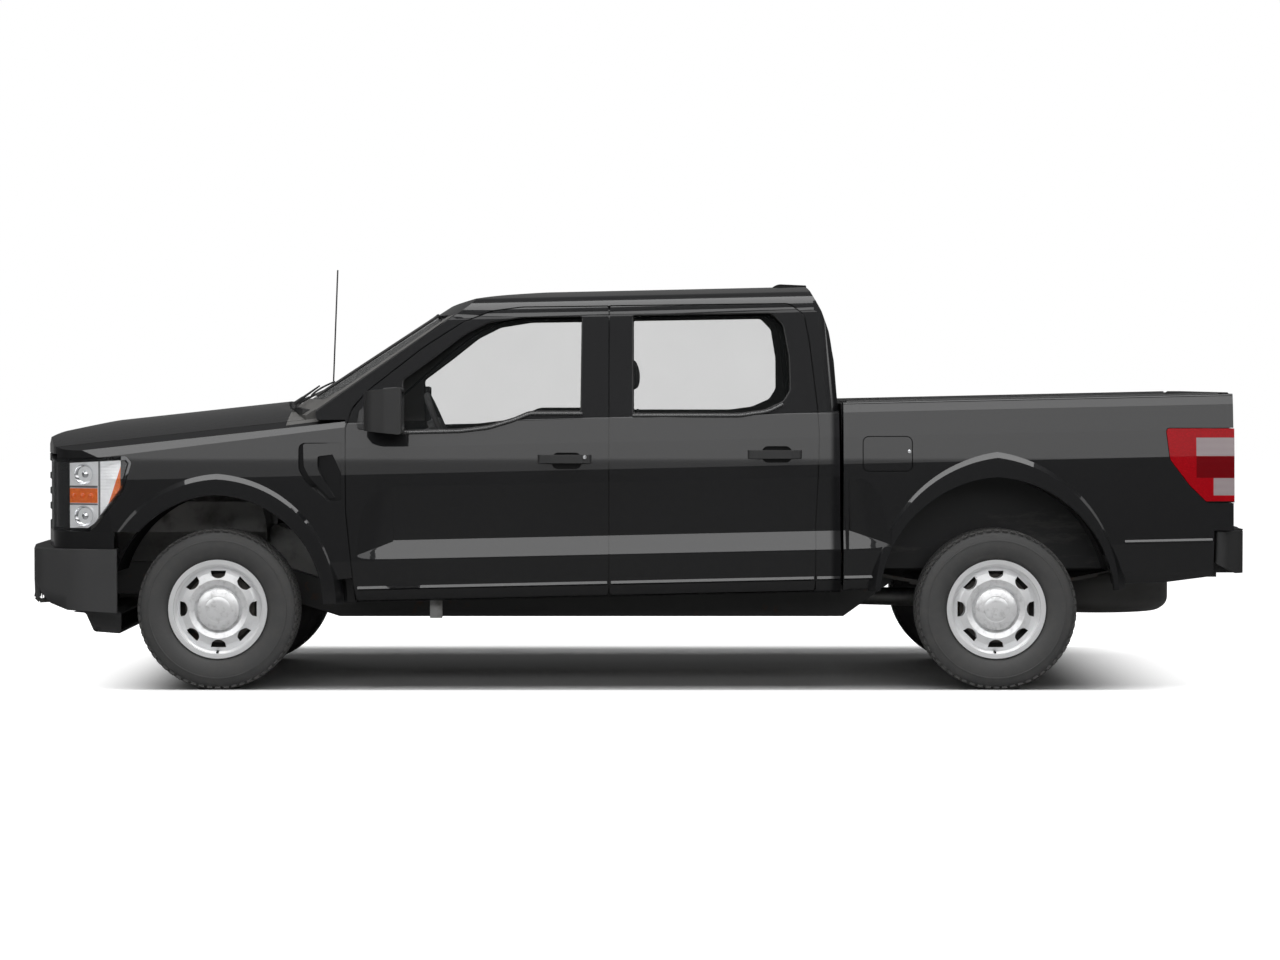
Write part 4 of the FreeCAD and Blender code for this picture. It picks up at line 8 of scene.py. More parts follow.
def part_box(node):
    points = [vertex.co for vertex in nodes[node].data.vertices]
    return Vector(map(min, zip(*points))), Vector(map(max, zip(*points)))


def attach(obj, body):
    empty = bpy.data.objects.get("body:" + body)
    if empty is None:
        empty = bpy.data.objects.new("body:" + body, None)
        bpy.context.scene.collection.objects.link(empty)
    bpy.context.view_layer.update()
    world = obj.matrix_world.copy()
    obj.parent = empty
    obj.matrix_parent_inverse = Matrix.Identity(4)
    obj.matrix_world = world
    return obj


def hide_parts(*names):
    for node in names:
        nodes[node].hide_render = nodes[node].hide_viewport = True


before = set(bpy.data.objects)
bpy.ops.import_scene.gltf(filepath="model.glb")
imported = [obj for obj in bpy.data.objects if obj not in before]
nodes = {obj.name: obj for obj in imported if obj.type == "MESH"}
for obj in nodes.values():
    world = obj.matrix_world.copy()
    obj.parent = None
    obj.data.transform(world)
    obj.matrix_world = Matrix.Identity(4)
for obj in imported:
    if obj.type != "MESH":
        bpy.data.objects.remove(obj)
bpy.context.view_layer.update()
print("frame loaded:", len(nodes), "nodes")

# shared places in metres: X rearwards, Y to the right, Z up
truck = {
    "frontAxle": -1.9825,
    "rearAxle": 1.7115,
    "axleHeight": 0.382,
    "frontWheelY": 0.8625,
    "rearWheelY": 0.8675,
    "rake": 0.022,
    "ends": ("front", "rear"),
    "sides": (-1, 1),
}
sideName = {-1: "Left", 1: "Right"}
nodeSide = {-1: "left", 1: "right"}


# a shader socket that can stand in a sum
class Value:
    def __init__(self, finish, socket):
        self.finish = finish
        self.socket = socket

    def withOther(self, operation, other, swapped=False):
        pair = (other, self) if swapped else (self, other)
        return self.finish.make("ShaderNodeMath", {"operation": operation}, {0: pair[0], 1: pair[1]})

    def __add__(self, other):
        return self.withOther("ADD", other)

    __radd__ = __add__

    def __sub__(self, other):
        return self.withOther("SUBTRACT", other)

    def __rsub__(self, other):
        return self.withOther("SUBTRACT", other, True)

    def __mul__(self, other):
        return self.withOther("MULTIPLY", other)

    __rmul__ = __mul__

    def __gt__(self, other):
        return self.withOther("GREATER_THAN", other)

    def __lt__(self, other):
        return self.withOther("LESS_THAN", other)

    def alone(self, operation):
        return self.finish.make("ShaderNodeMath", {"operation": operation}, {0: self})

    def __abs__(self):
        return self.alone("ABSOLUTE")

    def root(self):
        return self.alone("SQRT")

    def wave(self):
        return self.alone("SINE")

    def atLeast(self, other):
        return self.withOther("MAXIMUM", other)

    def atMost(self, other):
        return self.withOther("MINIMUM", other)

    # 0 below low, 1 above high, smooth between
    def rise(self, low, high):
        span = {0: self, 1: low, 2: high, 3: 0.0, 4: 1.0}
        return self.finish.make("ShaderNodeMapRange", {"interpolation_type": "SMOOTHSTEP"}, span)


shaderSockets = {
    "baseColor": "Base Color", "roughness": "Roughness", "metallic": "Metallic", "normal": "Normal",
    "ior": "IOR", "alpha": "Alpha", "specular": "Specular IOR Level", "coat": "Coat Weight",
    "coatRoughness": "Coat Roughness", "sheen": "Sheen Weight", "sheenRoughness": "Sheen Roughness",
    "emission": "Emission Color", "emissionStrength": "Emission Strength",
}


# a plain colour gets its alpha, anything else is passed on
def opaque(value):
    return (*value, 1) if isinstance(value, tuple) else value


class Finish:
    def __init__(self, name, **sockets):
        self.material = bpy.data.materials.new(name)
        self.material.use_nodes = True
        self.tree = self.material.node_tree
        self.shader = self.tree.nodes["Principled BSDF"]
        self.place = None
        self.put(**sockets)

    def feed(self, target, value):
        if isinstance(value, Value):
            self.tree.links.new(value.socket, target)
        elif value is not None:
            target.default_value = value

    def make(self, kind, settings, sockets, output=0):
        node = self.tree.nodes.new(kind)
        for key, value in settings.items():
            setattr(node, key, value)
        for key, value in sockets.items():
            self.feed(node.inputs[key], value)
        return Value(self, node.outputs[output])

    # sets or links the shader's own sockets
    def put(self, **sockets):
        for key, value in sockets.items():
            self.feed(self.shader.inputs[shaderSockets[key]], opaque(value))

    def coordinates(self):
        if self.place is None:
            self.place = self.make("ShaderNodeTexCoord", {}, {}, "Object")
        return self.place

    def axes(self):
        split = self.make("ShaderNodeSeparateXYZ", {}, {0: self.coordinates()}).socket.node
        return [Value(self, output) for output in split.outputs]

    def stretched(self, scale):
        return self.make("ShaderNodeMapping", {}, {"Vector": self.coordinates(), "Scale": scale})

    def noise(self, scale, detail=3.0, roughness=0.5, where=None):
        where = where or self.coordinates()
        sockets = {"Vector": where, "Scale": scale, "Detail": detail, "Roughness": roughness}
        return self.make("ShaderNodeTexNoise", {}, sockets)

    def cells(self, scale):
        sockets = {"Vector": self.coordinates(), "Scale": scale}
        return self.make("ShaderNodeTexVoronoi", {"feature": "F1"}, sockets)

    def blend(self, mask, low, high):
        sockets = {0: mask, 6: opaque(low), 7: opaque(high)}
        return self.make("ShaderNodeMix", {"data_type": "RGBA"}, sockets, 2)

    def bump(self, height, strength, distance=0.001, normal=None):
        sockets = {"Height": height, "Strength": strength, "Distance": distance, "Normal": normal}
        return self.make("ShaderNodeBump", {}, sockets)

    # catches the light along a solid's hard edges
    def softEdge(self, radius):
        return self.make("ShaderNodeBevel", {"samples": 4}, {"Radius": radius})


finishes = {}


def finish(name, **sockets):
    made = Finish(name, **sockets)
    finishes[name] = made
    return made


# body paint, and the cab's trimmed room that shares its solid
paintLook = {
    "colour": (0.0036, 0.0037, 0.0042),
    "flake": (0.0085, 0.0087, 0.0098),
    "roughness": 0.42,
    "metallic": 0.15,
    "specular": 0.12,
    "coat": 0.80,
    "coatRoughness": 0.03,
    "dust": (0.035, 0.032, 0.028),
    "dustTop": (0.42, 0.66),
    "lining": [(0.105, 0.103, 0.100), (0.145, 0.142, 0.137)],
    "rearCornerShade": (0.916, 0.946, 0.980),  # painted shade: the coat is left off this band, as if the flat cab side turned away into the gap
}
roomLook = {
    "wallY": 0.884, "glassY": 0.912, "glassLean": 0.364, "beltLow": 1.28, "beltTop": 1.285,
    "leanFrom": 1.30, "roofTop": 1.884, "roofCrown": 0.085, "screenFoot": (-1.25, 1.655),
    "screenSlope": 0.34, "screenEnd": -0.62, "rear": 0.945, "rearLean": 0.09, "rearLeanFrom": 1.1,
    "front": -1.66, "floor": 0.5195,
}


# true inside the cab's trimmed room: between the doors' inner faces, the floor and the roof lining
def roomMask(made):
    look = roomLook
    x, y, z = made.axes()
    across = abs(y)
    level = z - x * truck["rake"]
    lean = (level - look["leanFrom"]) * look["glassLean"]
    lower = (across < look["wallY"]) * (level < look["beltTop"])
    upper = (across + lean < look["glassY"]) * (level > look["beltLow"])
    sides = (lower + upper).atMost(1)
    roof = (level + across * across * look["roofCrown"]) < look["roofTop"]
    footX, footZ = look["screenFoot"]
    screen = (z - (x - footX) * look["screenSlope"] < footZ) + (x > look["screenEnd"])
    rearWall = x < look["rear"] - (level - look["rearLeanFrom"]).atLeast(0) * look["rearLean"]
    return sides * roof * screen.atMost(1) * rearWall * (x > look["front"]) * (z > look["floor"])


def makePaint():
    look = paintLook
    made = finish("bodyPaint", specular=look["specular"], coatRoughness=look["coatRoughness"])
    x, y, z = made.axes()
    flakes = made.cells(2600).rise(0.25, 0.75)
    cloud = made.noise(1.1, 2).rise(0.3, 0.75)
    colour = made.blend(flakes * 0.55 + cloud * 0.25, look["colour"], look["flake"])
    grime = (made.noise(26, 5, 0.62).rise(0.42, 0.72)) * (1 - z.rise(*look["dustTop"])) * 0.12
    colour = made.blend(grime, colour, look["dust"])
    room = roomMask(made)
    grain = made.noise(420, 3)
    colour = made.blend(room, colour, made.blend(grain * 0.5, *look["lining"]))
    peel = made.noise(95, 2) * 0.10 + grain * room
    # the coat is left off the cab's rear corner band as painted shade; the side there stays flat
    start, turned, end = look["rearCornerShade"]
    corner = x.rise(start, turned) * (x < end)
    made.put(
        baseColor=colour,
        metallic=(1 - room) * (1 - grime) * look["metallic"],
        roughness=look["roughness"] + grime * 0.5 + room * 0.42,
        coat=(1 - room) * (1 - grime) * (1 - corner) * look["coat"],
        normal=made.bump(peel, 0.10, 0.0006, made.softEdge(0.004)),
    )


def makeBedPaint():
    made = finish("bedPaint", metallic=0.35, coat=0.25, coatRoughness=0.05)
    flakes = made.cells(2600).rise(0.25, 0.75)
    colour = made.blend(flakes * 0.5, paintLook["colour"], paintLook["flake"])
    scuff = made.noise(9, 6, 0.7, made.stretched((0.25, 3.0, 1.0))).rise(0.52, 0.68)
    grit = made.noise(330, 4, 0.6)
    made.put(
        baseColor=made.blend(scuff * 0.5, colour, (0.075, 0.073, 0.07)), roughness=0.42 + scuff * 0.3,
        normal=made.bump(grit + scuff * 0.4, 0.16, 0.0012, made.softEdge(0.004)),
    )


# moulded plastics of the outside: two colours, the scales of grain and cloud, the roughness and its spread
plasticLook = {
    "blackPlastic": {
        "colours": [(0.0080, 0.0080, 0.0084), (0.0150, 0.0150, 0.0155)], "grain": 900, "cloud": 7,
        "roughness": (0.46, 0.16), "relief": 0.22,
    },
    "bumperPlastic": {
        "colours": [(0.020, 0.020, 0.0205), (0.032, 0.032, 0.033)], "grain": 1100, "cloud": 5,
        "roughness": (0.50, 0.14), "relief": 0.25,
    },
}


def makePlastics():
    for name, look in plasticLook.items():
        made = finish(name)
        cloud = made.noise(look["cloud"], 4)
        base, spread = look["roughness"]
        made.put(
            baseColor=made.blend(cloud, *look["colours"]), roughness=base + cloud * spread,
            normal=made.bump(made.cells(look["grain"]), look["relief"], 0.0004, made.softEdge(0.003)),
        )
    made = finish("glossBlack", coat=0.6, coatRoughness=0.04)
    swirl = made.noise(160, 3)
    made.put(
        baseColor=made.blend(made.noise(5, 2), (0.0085, 0.0085, 0.009), (0.015, 0.015, 0.016)),
        roughness=0.22 + swirl * 0.10, normal=made.bump(swirl, 0.03, 0.0004, made.softEdge(0.003)),
    )
    made = finish("linerPlastic", specular=0.1)
    mud = made.noise(17, 6, 0.66).rise(0.46, 0.70)
    made.put(
        baseColor=made.blend(mud * 0.6, (0.0030, 0.0030, 0.0030), (0.0105, 0.0098, 0.0088)),
        roughness=0.85 + mud * 0.12, normal=made.bump(made.noise(240, 5) + mud, 0.35, 0.0015),
    )
    made = finish("cabinPlastic")
    grain = made.cells(1250)
    made.put(
        baseColor=made.blend(made.noise(6, 3), (0.042, 0.042, 0.044), (0.060, 0.060, 0.062)),
        roughness=0.50 + grain * 0.14, normal=made.bump(grain, 0.26, 0.0005, made.softEdge(0.004)),
    )
    made = finish("sealRubber")
    made.put(
        baseColor=made.blend(made.noise(60, 3), (0.008, 0.008, 0.008), (0.016, 0.016, 0.016)),
        roughness=0.6 + made.noise(300, 2) * 0.2, normal=made.bump(made.noise(700, 2), 0.1, 0.0005),
    )


def makeGlass():
    made = finish("clearGlass", ior=1.5, specular=0.7, coat=0.3)
    edge = made.make("ShaderNodeFresnel", {}, {"IOR": 1.48})
    film = made.noise(3.5, 3)
    made.put(
        baseColor=made.blend(film, (0.030, 0.034, 0.034), (0.046, 0.050, 0.050)),
        alpha=(0.075 + film * 0.03 + edge * 0.6).atMost(1),
        roughness=0.015 + film * 0.02,
    )
    made = finish("lampLens", roughness=0.03, ior=1.45, coat=0.3)
    x, y, z = made.axes()
    edge = made.make("ShaderNodeFresnel", {}, {"IOR": 1.40})
    flutes = ((x * 620).wave() * 0.5 + 0.5) * (z < 1.0)
    made.put(
        baseColor=made.blend(made.noise(30, 2), (0.16, 0.17, 0.18), (0.24, 0.25, 0.26)),
        alpha=(0.07 + edge * 0.5).atMost(1), normal=made.bump(flutes, 0.12, 0.0006),
    )
    makeLampInside()
    makeTailLens()
    # the amber bulbs glow faintly: painted light, as the lamps are not lit
    made = finish("amberLens", coat=1.0, emission=(0.9, 0.16, 0.01), emissionStrength=0.22)
    optic = made.cells(150)
    made.put(
        baseColor=made.blend(optic, (0.62, 0.075, 0.004), (0.90, 0.17, 0.012)),
        roughness=0.12 + optic * 0.1, normal=made.bump(optic, 0.2, 0.001),
    )
    made = finish("lampChrome", metallic=1.0)
    ripple = made.noise(40, 3)
    made.put(
        baseColor=made.blend(ripple, (0.72, 0.73, 0.75), (0.86, 0.87, 0.88)),
        roughness=0.07 + ripple * 0.08, normal=made.bump(ripple, 0.05, 0.0006),
    )
    made = finish("mirrorGlass", metallic=1.0)
    haze = made.noise(6, 3)
    made.put(baseColor=made.blend(haze, (0.70, 0.73, 0.76), (0.78, 0.80, 0.83)), roughness=0.03 + haze * 0.03)


# the headlamp's moulding: a bright bowl field, an amber strip between the bowls and an amber corner marker;
# all but the black parts and seams glow faintly in their own colour, which is painted light
def makeLampInside():
    made = finish("lampInside", coat=0.4, emissionStrength=0.20)
    x, y, z = made.axes()
    dark = ((x < -2.690) + (x > -2.440) * (z > 0.90) + (x > -2.400)).atMost(1)
    strip = (x > -2.690) * (x < -2.550) * (z > 0.886) * (z < 0.956)
    slant = x - (z - 0.885) * 0.32
    marker = (slant > -2.496) * (slant < -2.448) * (z > 0.872) * (z < 1.075)
    amber = strip.atLeast(marker)
    ribs = ((z * 900).wave() * 0.5 + 0.5) * (x > -2.55)
    ripple = made.noise(60, 3)
    bright = made.blend(ripple, (0.80, 0.81, 0.83), (0.93, 0.94, 0.95))
    glow = made.blend(made.cells(140), (0.70, 0.085, 0.006), (0.95, 0.22, 0.02))
    level = (abs(z - 0.963) < 0.005) + (abs(z - 0.880) < 0.004)
    seam = ((abs(x + 2.542) < 0.005) + (x < -2.55) * level.atMost(1)).atMost(1)
    shade = made.blend(amber, bright, glow)
    shade = made.blend(seam * 0.8, shade, (0.05, 0.05, 0.055))
    # painted light: the unlit moulding glows faintly in its own colour
    made.put(
        baseColor=made.blend(dark, shade, (0.006, 0.006, 0.0065)),
        metallic=(1 - amber) * (1 - dark) * 0.25, roughness=0.16 + ripple * 0.12,
        normal=made.bump(ribs + ripple * 0.5, 0.35, 0.0012),
        emission=made.blend((1 - dark) * (1 - seam), (0.0, 0.0, 0.0), shade),
    )


# the rear lamp: red, with two pale fields and a deep red one between them, in a black housing
def makeTailLens():
    made = finish("tailLens", specular=0.08, coat=0.12, coatRoughness=0.025)
    x, y, z = made.axes()
    optic = made.cells(190)
    lines = (z * 1150).wave() * 0.5 + 0.5
    slant = x + (z - 1.10) * 0.35
    housing = (x < 2.7) * (slant < 2.524) + (x < 2.0) + (z < 0.896) + (x > 2.8385)
    upper = (x > 2.654) * (z > 1.110) * (z < 1.197)
    middle = (x > 2.654) * (z > 1.007) * (z < 1.1085)
    lower = (x > 2.735) * (z > 0.924) * (z < 1.0055)
    red = made.blend(optic, (0.32, 0.001, 0.005), (0.52, 0.003, 0.010))
    deep = made.blend(lines, (0.13, 0.001, 0.003), (0.24, 0.002, 0.006))
    pale = made.blend(lines, (0.30, 0.24, 0.25), (0.50, 0.44, 0.45))
    shade = made.blend(middle, red, deep)
    shade = made.blend(upper.atLeast(lower), shade, pale)
    made.put(
        baseColor=made.blend(housing.atMost(1), shade, (0.006, 0.006, 0.006)),
        roughness=0.12 + optic * 0.08, normal=made.bump(optic + lines * 0.6, 0.16, 0.0008),
    )


# distance from the line of the nearer axle
def axleDistance(made):
    x, y, z = made.axes()
    along = x - ((x > 0) * (truck["rearAxle"] - truck["frontAxle"]) + truck["frontAxle"])
    up = z - truck["axleHeight"]
    return (along * along + up * up).root()


def makeWheels():
    made = finish("wheelSilver", coat=0.45, coatRoughness=0.06)
    radius = axleDistance(made)
    x, y, z = made.axes()
    dust = made.noise(34, 5, 0.6).rise(0.45, 0.75) * (1 - radius.rise(0.10, 0.19)) * 0.35
    shade = made.blend(made.cells(1900) * 0.7, (0.80, 0.805, 0.815), (0.91, 0.915, 0.92))
    hub = (abs(y) < 0.872) * (radius < 0.168)
    iron = made.blend(made.noise(50, 5), (0.10, 0.085, 0.075), (0.20, 0.185, 0.17))
    turning = (radius * 2400).wave() * hub * 0.4
    made.put(
        baseColor=made.blend(hub, made.blend(dust, shade, (0.10, 0.095, 0.088)), iron),
        metallic=0.28 - dust * 0.2, roughness=0.30 + dust * 0.3 + hub * 0.25,
        normal=made.bump(made.noise(150, 3) + turning, 0.06, 0.0005, made.softEdge(0.004)),
    )
    made = finish("tyreRubber", sheen=0.05)
    radius = axleDistance(made)
    rings = (radius * 950).wave().rise(0.2, 0.95) * radius.rise(0.30, 0.315) * (1 - radius.rise(0.352, 0.362))
    dirt = made.noise(22, 6, 0.62).rise(0.42, 0.72)
    crown = radius.rise(0.366, 0.378)
    shade = made.blend(dirt * 0.6, (0.044, 0.044, 0.044), (0.074, 0.072, 0.069))
    made.put(
        baseColor=made.blend(crown * 0.5, shade, (0.062, 0.060, 0.056)), roughness=0.62 + dirt * 0.2,
        normal=made.bump(rings * 0.5 + made.noise(420, 4), 0.28, 0.0009),
    )


def makeMetals():
    made = finish("frameBlack", metallic=0.1)
    rust = made.noise(11, 7, 0.68).rise(0.60, 0.74)
    made.put(
        baseColor=made.blend(rust * 0.55, (0.012, 0.012, 0.012), (0.085, 0.038, 0.020)),
        roughness=0.5 + rust * 0.35,
        normal=made.bump(made.noise(150, 5) + rust, 0.22, 0.001, made.softEdge(0.004)),
    )
    made = finish("castIron", metallic=0.55)
    rust = made.noise(14, 7, 0.66).rise(0.5, 0.72)
    made.put(
        baseColor=made.blend(rust * 0.7, (0.055, 0.053, 0.050), (0.12, 0.065, 0.038)),
        roughness=0.58 + rust * 0.25, normal=made.bump(made.noise(260, 5), 0.4, 0.0012, made.softEdge(0.004)),
    )
    made = finish("castAluminium", metallic=0.85)
    stain = made.noise(8, 6, 0.6).rise(0.45, 0.75)
    made.put(
        baseColor=made.blend(stain * 0.6, (0.33, 0.33, 0.325), (0.13, 0.125, 0.115)),
        roughness=0.48 + stain * 0.25,
        normal=made.bump(made.noise(310, 4), 0.35, 0.001, made.softEdge(0.005)),
    )
    made = finish("exhaustSteel", metallic=0.9)
    heat = made.noise(3.2, 4, 0.6, made.stretched((1.0, 0.4, 0.4))).rise(0.35, 0.75)
    brush = made.noise(240, 3, 0.6, made.stretched((0.06, 1.0, 1.0)))
    made.put(
        baseColor=made.blend(heat, (0.30, 0.28, 0.26), (0.19, 0.125, 0.075)),
        roughness=0.36 + brush * 0.2 + heat * 0.15, normal=made.bump(brush, 0.12, 0.0005),
    )
    made = finish("brightSteel", metallic=1.0)
    brush = made.noise(500, 3, 0.6, made.stretched((1.0, 1.0, 0.08)))
    made.put(
        baseColor=made.blend(brush, (0.50, 0.51, 0.52), (0.68, 0.69, 0.70)),
        roughness=0.22 + brush * 0.15, normal=made.bump(brush, 0.08, 0.0004),
    )


def makeCloth():
    made = finish("seatCloth", sheen=0.35, sheenRoughness=0.4)
    x, y, z = made.axes()
    warp = (y * 3300).wave() * ((x + z) * 3300).wave()
    mottle = made.noise(70, 4)
    weave = warp.rise(-0.6, 0.6) * 0.5 + mottle * 0.4
    made.put(
        baseColor=made.blend(weave, (0.050, 0.050, 0.052), (0.115, 0.114, 0.116)),
        roughness=0.86 + mottle * 0.1, normal=made.bump(warp + mottle * 0.6, 0.5, 0.0008),
    )
    made = finish("seatBolster", sheen=0.15)
    grain = made.cells(640)
    made.put(
        baseColor=made.blend(made.noise(25, 3), (0.030, 0.030, 0.031), (0.046, 0.046, 0.047)),
        roughness=0.52 + grain * 0.2, normal=made.bump(grain, 0.35, 0.0007),
    )
    made = finish("floorCarpet", sheen=0.4)
    pile = made.noise(900, 3)
    made.put(
        baseColor=made.blend(made.noise(40, 4), (0.020, 0.020, 0.021), (0.045, 0.045, 0.046)),
        roughness=0.95 + pile * 0.05, normal=made.bump(pile, 0.8, 0.002),
    )


makePaint()
makeBedPaint()
makePlastics()
makeGlass()
makeWheels()
makeMetals()
makeCloth()
print("finishes made:", len(finishes))

nodeFinish = {
    "cab_shell": "bodyPaint", "front_fenders": "bodyPaint", "front_fascia": "bodyPaint",
    "bedsides": "bodyPaint", "hood": "bodyPaint", "tailgate": "bodyPaint", "fuel_flap": "bodyPaint",
    "cargo_box": "bedPaint", "fixed_glass": "clearGlass", "fender_vents": "bodyPaint",
    "grille": "blackPlastic", "headlamps": "glossBlack", "cowl": "blackPlastic",
    "front_bumper": "bumperPlastic", "rear_lamps": "tailLens", "rear_bumper": "blackPlastic",
    "tailgate_handle": "blackPlastic", "ladder_frame": "frameBlack", "rear_axle": "frameBlack",
    "suspension": "castIron", "engine": "castAluminium", "driveline": "castAluminium",
    "exhaust": "exhaustSteel", "fuel_tank": "linerPlastic", "wheel_liners": "linerPlastic",
    "dashboard": "cabinPlastic", "steering_wheel": "seatBolster", "steering_rack": "brightSteel",
    "radiator": "castAluminium", "spare_wheel": "tyreRubber", "antenna": "glossBlack",
    "knuckle_left": "castIron", "knuckle_right": "castIron", "seats": "seatCloth",
}
for end in truck["ends"]:
    for side in ("left", "right"):
        nodeFinish[f"{end}_door_{side}"] = "bodyPaint"
        nodeFinish[f"{end}_door_glass_{side}"] = "clearGlass"
        nodeFinish[f"{end}_door_fittings_{side}"] = "blackPlastic"
        nodeFinish[f"tyre_{end}_{side}"] = "tyreRubber"
        nodeFinish[f"rim_{end}_{side}"] = "wheelSilver"
for name, item in nodes.items():
    item.data.materials.clear()
    item.data.materials.append(finishes[nodeFinish[name]].material)

def newMesh(name, bm):
    mesh = bpy.data.meshes.new(name)
    bm.to_mesh(mesh)
    bm.free()
    return mesh


def newObject(name, data):
    made = bpy.data.objects.new(name, data)
    bpy.context.scene.collection.objects.link(made)
    return made


# gives a finished mesh its look, and makes it ride on its body
def dress(mesh, look, body, smoothAngle):
    mesh.shade_smooth()
    mesh.set_sharp_from_angle(angle=math.radians(smoothAngle))
    mesh.materials.clear()
    mesh.materials.append(finishes[look].material)
    piece = newObject(mesh.name, mesh)
    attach(piece, body)
    return piece


def addPiece(name, bm, look, body="chassis", smoothAngle=30):
    bmesh.ops.remove_doubles(bm, verts=bm.verts, dist=0.00001)
    bmesh.ops.recalc_face_normals(bm, faces=bm.faces)
    return dress(newMesh(name, bm), look, body, smoothAngle)


def rounded(bm, edges, width, segments):
    bmesh.ops.bevel(
        bm, geom=edges, offset=width, offset_type="OFFSET", affect="EDGES", segments=segments, profile=0.5,
        material=-1, clamp_overlap=True,
    )


# rounds every edge that is sharper than an angle
def softened(bm, width, segments=2, angle=30):
    sharp = math.radians(angle)
    edges = [edge for edge in bm.edges if len(edge.link_faces) == 2 and edge.calc_face_angle(0) > sharp]
    rounded(bm, edges, width, segments)


def addBox(bm, low, high, turn=None):
    middle = (Vector(low) + Vector(high)) / 2
    size = Vector(high) - Vector(low)
    place = Matrix.Translation(middle) @ (turn or Matrix.Identity(4)) @ Matrix.Diagonal((*size, 1))
    return bmesh.ops.create_cube(bm, size=1, matrix=place)["verts"]


def addRod(bm, start, stop, radius, endRadius=None, segments=24):
    start, stop = Vector(start), Vector(stop)
    run = stop - start
    turn = Vector((0, 0, 1)).rotation_difference(run.normalized()).to_matrix().to_4x4()
    place = Matrix.Translation((start + stop) / 2) @ turn
    bmesh.ops.create_cone(
        bm, cap_ends=True, segments=segments, radius1=radius,
        radius2=radius if endRadius is None else endRadius, depth=run.length, matrix=place,
    )


def addBall(bm, centre, radius, stretch=(1, 1, 1)):
    verts = bmesh.ops.create_icosphere(bm, subdivisions=3, radius=radius)["verts"]
    place = Matrix.Translation(centre) @ Matrix.Diagonal((*stretch, 1))
    bmesh.ops.transform(bm, matrix=place, verts=verts)


# an outline of points pushed along a direction
def addSlab(bm, outline, push):
    face = bm.faces.new([bm.verts.new(point) for point in outline])
    grown = bmesh.ops.extrude_face_region(bm, geom=[face])["geom"]
    moved = [item for item in grown if isinstance(item, bmesh.types.BMVert)]
    bmesh.ops.translate(bm, verts=moved, vec=Vector(push))


# a half profile of (across, radius) turned about an axis
def addTurned(bm, profile, centre, steps=64, axis=(0, 1, 0), start=(0, 0, 1)):
    axis, start, centre = Vector(axis), Vector(start), Vector(centre)
    verts = [bm.verts.new(centre + axis * across + start * radius) for across, radius in profile]
    edges = [bm.edges.new(pair) for pair in zip(verts, verts[1:])]
    bmesh.ops.spin(
        bm, geom=verts + edges, cent=centre, axis=axis, angle=math.tau, steps=steps, use_merge=True,
        use_duplicate=False,
    )


# copies of one block, evenly spaced right round a wheel
def addRing(bm, block, centre, count):
    edges = dict.fromkeys(edge for vert in block for edge in vert.link_edges)
    faces = dict.fromkeys(face for vert in block for face in vert.link_faces)
    bmesh.ops.spin(
        bm, geom=[*block, *edges, *faces], cent=centre, axis=(0, 1, 0), angle=math.tau * (1 - 1 / count),
        steps=count - 1, use_duplicate=True,
    )


# a round bead that follows a line of points
def addBead(name, points, radius, look, body, closed=False):
    line = bpy.data.curves.new(name + "Line", "CURVE")
    line.dimensions = "3D"
    line.bevel_depth = radius
    line.bevel_resolution = 3
    line.use_fill_caps = True
    spline = line.splines.new("NURBS")
    spline.points.add(len(points) - 1)
    for point, place in zip(spline.points, points):
        point.co = (*place, 1)
    spline.use_cyclic_u = closed
    spline.order_u = 3
    spline.use_endpoint_u = not closed
    spline.resolution_u = 6
    holder = bpy.data.objects.new(name + "Line", line)
    mesh = bpy.data.meshes.new_from_object(holder)
    bpy.data.objects.remove(holder)
    mesh.name = name
    dress(mesh, look, body, 45)


# a value read from a table of (place, value) pairs
def readTable(table, place):
    for (start, low), (stop, high) in zip(table, table[1:]):
        if place <= stop:
            return low + (high - low) * max(place - start, 0) / (stop - start)
    return table[-1][1]


# half width of the body's skin, by height above the raked base line
sideShape = {
    "points": [
        (0.446, 0.932), (0.506, 0.978), (0.640, 1.003), (1.050, 0.988), (1.178, 0.977), (1.292, 0.958),
        (1.300, 0.950),
    ],
    "glassLean": 0.364,
}


def skinY(x, z):
    level = z - truck["rake"] * x
    beltZ, beltY = sideShape["points"][-1]
    if level >= beltZ:
        return beltY - (level - beltZ) * sideShape["glassLean"]
    return readTable(sideShape["points"], level)


def wheelPlace(end, side):
    return Vector((truck[end + "Axle"], side * truck[end + "WheelY"], truck["axleHeight"]))


def wheelBody(end, side):
    return f"wheel_{end}_{nodeSide[side]}"


# tyres: a turned carcass, five rows of blocks, shoulder lugs and plain rings on the sidewall
tyreLook = {
    "carcass": [
        (0.086, 0.2192), (0.0912, 0.2232), (0.0935, 0.2385), (0.1035, 0.2465), (0.1130, 0.2605),
        (0.1190, 0.2800), (0.1222, 0.3020), (0.1212, 0.3230), (0.1226, 0.3245), (0.1222, 0.3290),
        (0.1196, 0.3310), (0.1165, 0.3450), (0.1110, 0.3600), (0.1020, 0.3700), (0.0850, 0.3728),
        (0.0400, 0.3742),
    ],
    # each row's place across, its width and its turn in pitches
    "rows": [
        (-0.073, 0.0300, 0.0), (-0.0365, 0.0285, 0.5), (0.0, 0.0275, 0.0), (0.0365, 0.0285, 0.5),
        (0.073, 0.0300, 0.0),
    ],
    "pitches": 60,
    "blockLength": 0.0315,
    "top": 0.3815,
    "base": 0.3715,
    "outerRow": 0.05,
    "outerDrop": 0.0016,
    "skew": 0.16,
    "topTaper": 0.93,
    "lug": (0.0125, 0.010, 0.0045),
    "lugPlace": (0.1035, 0.3690),
    "lugTilt": 52,
}


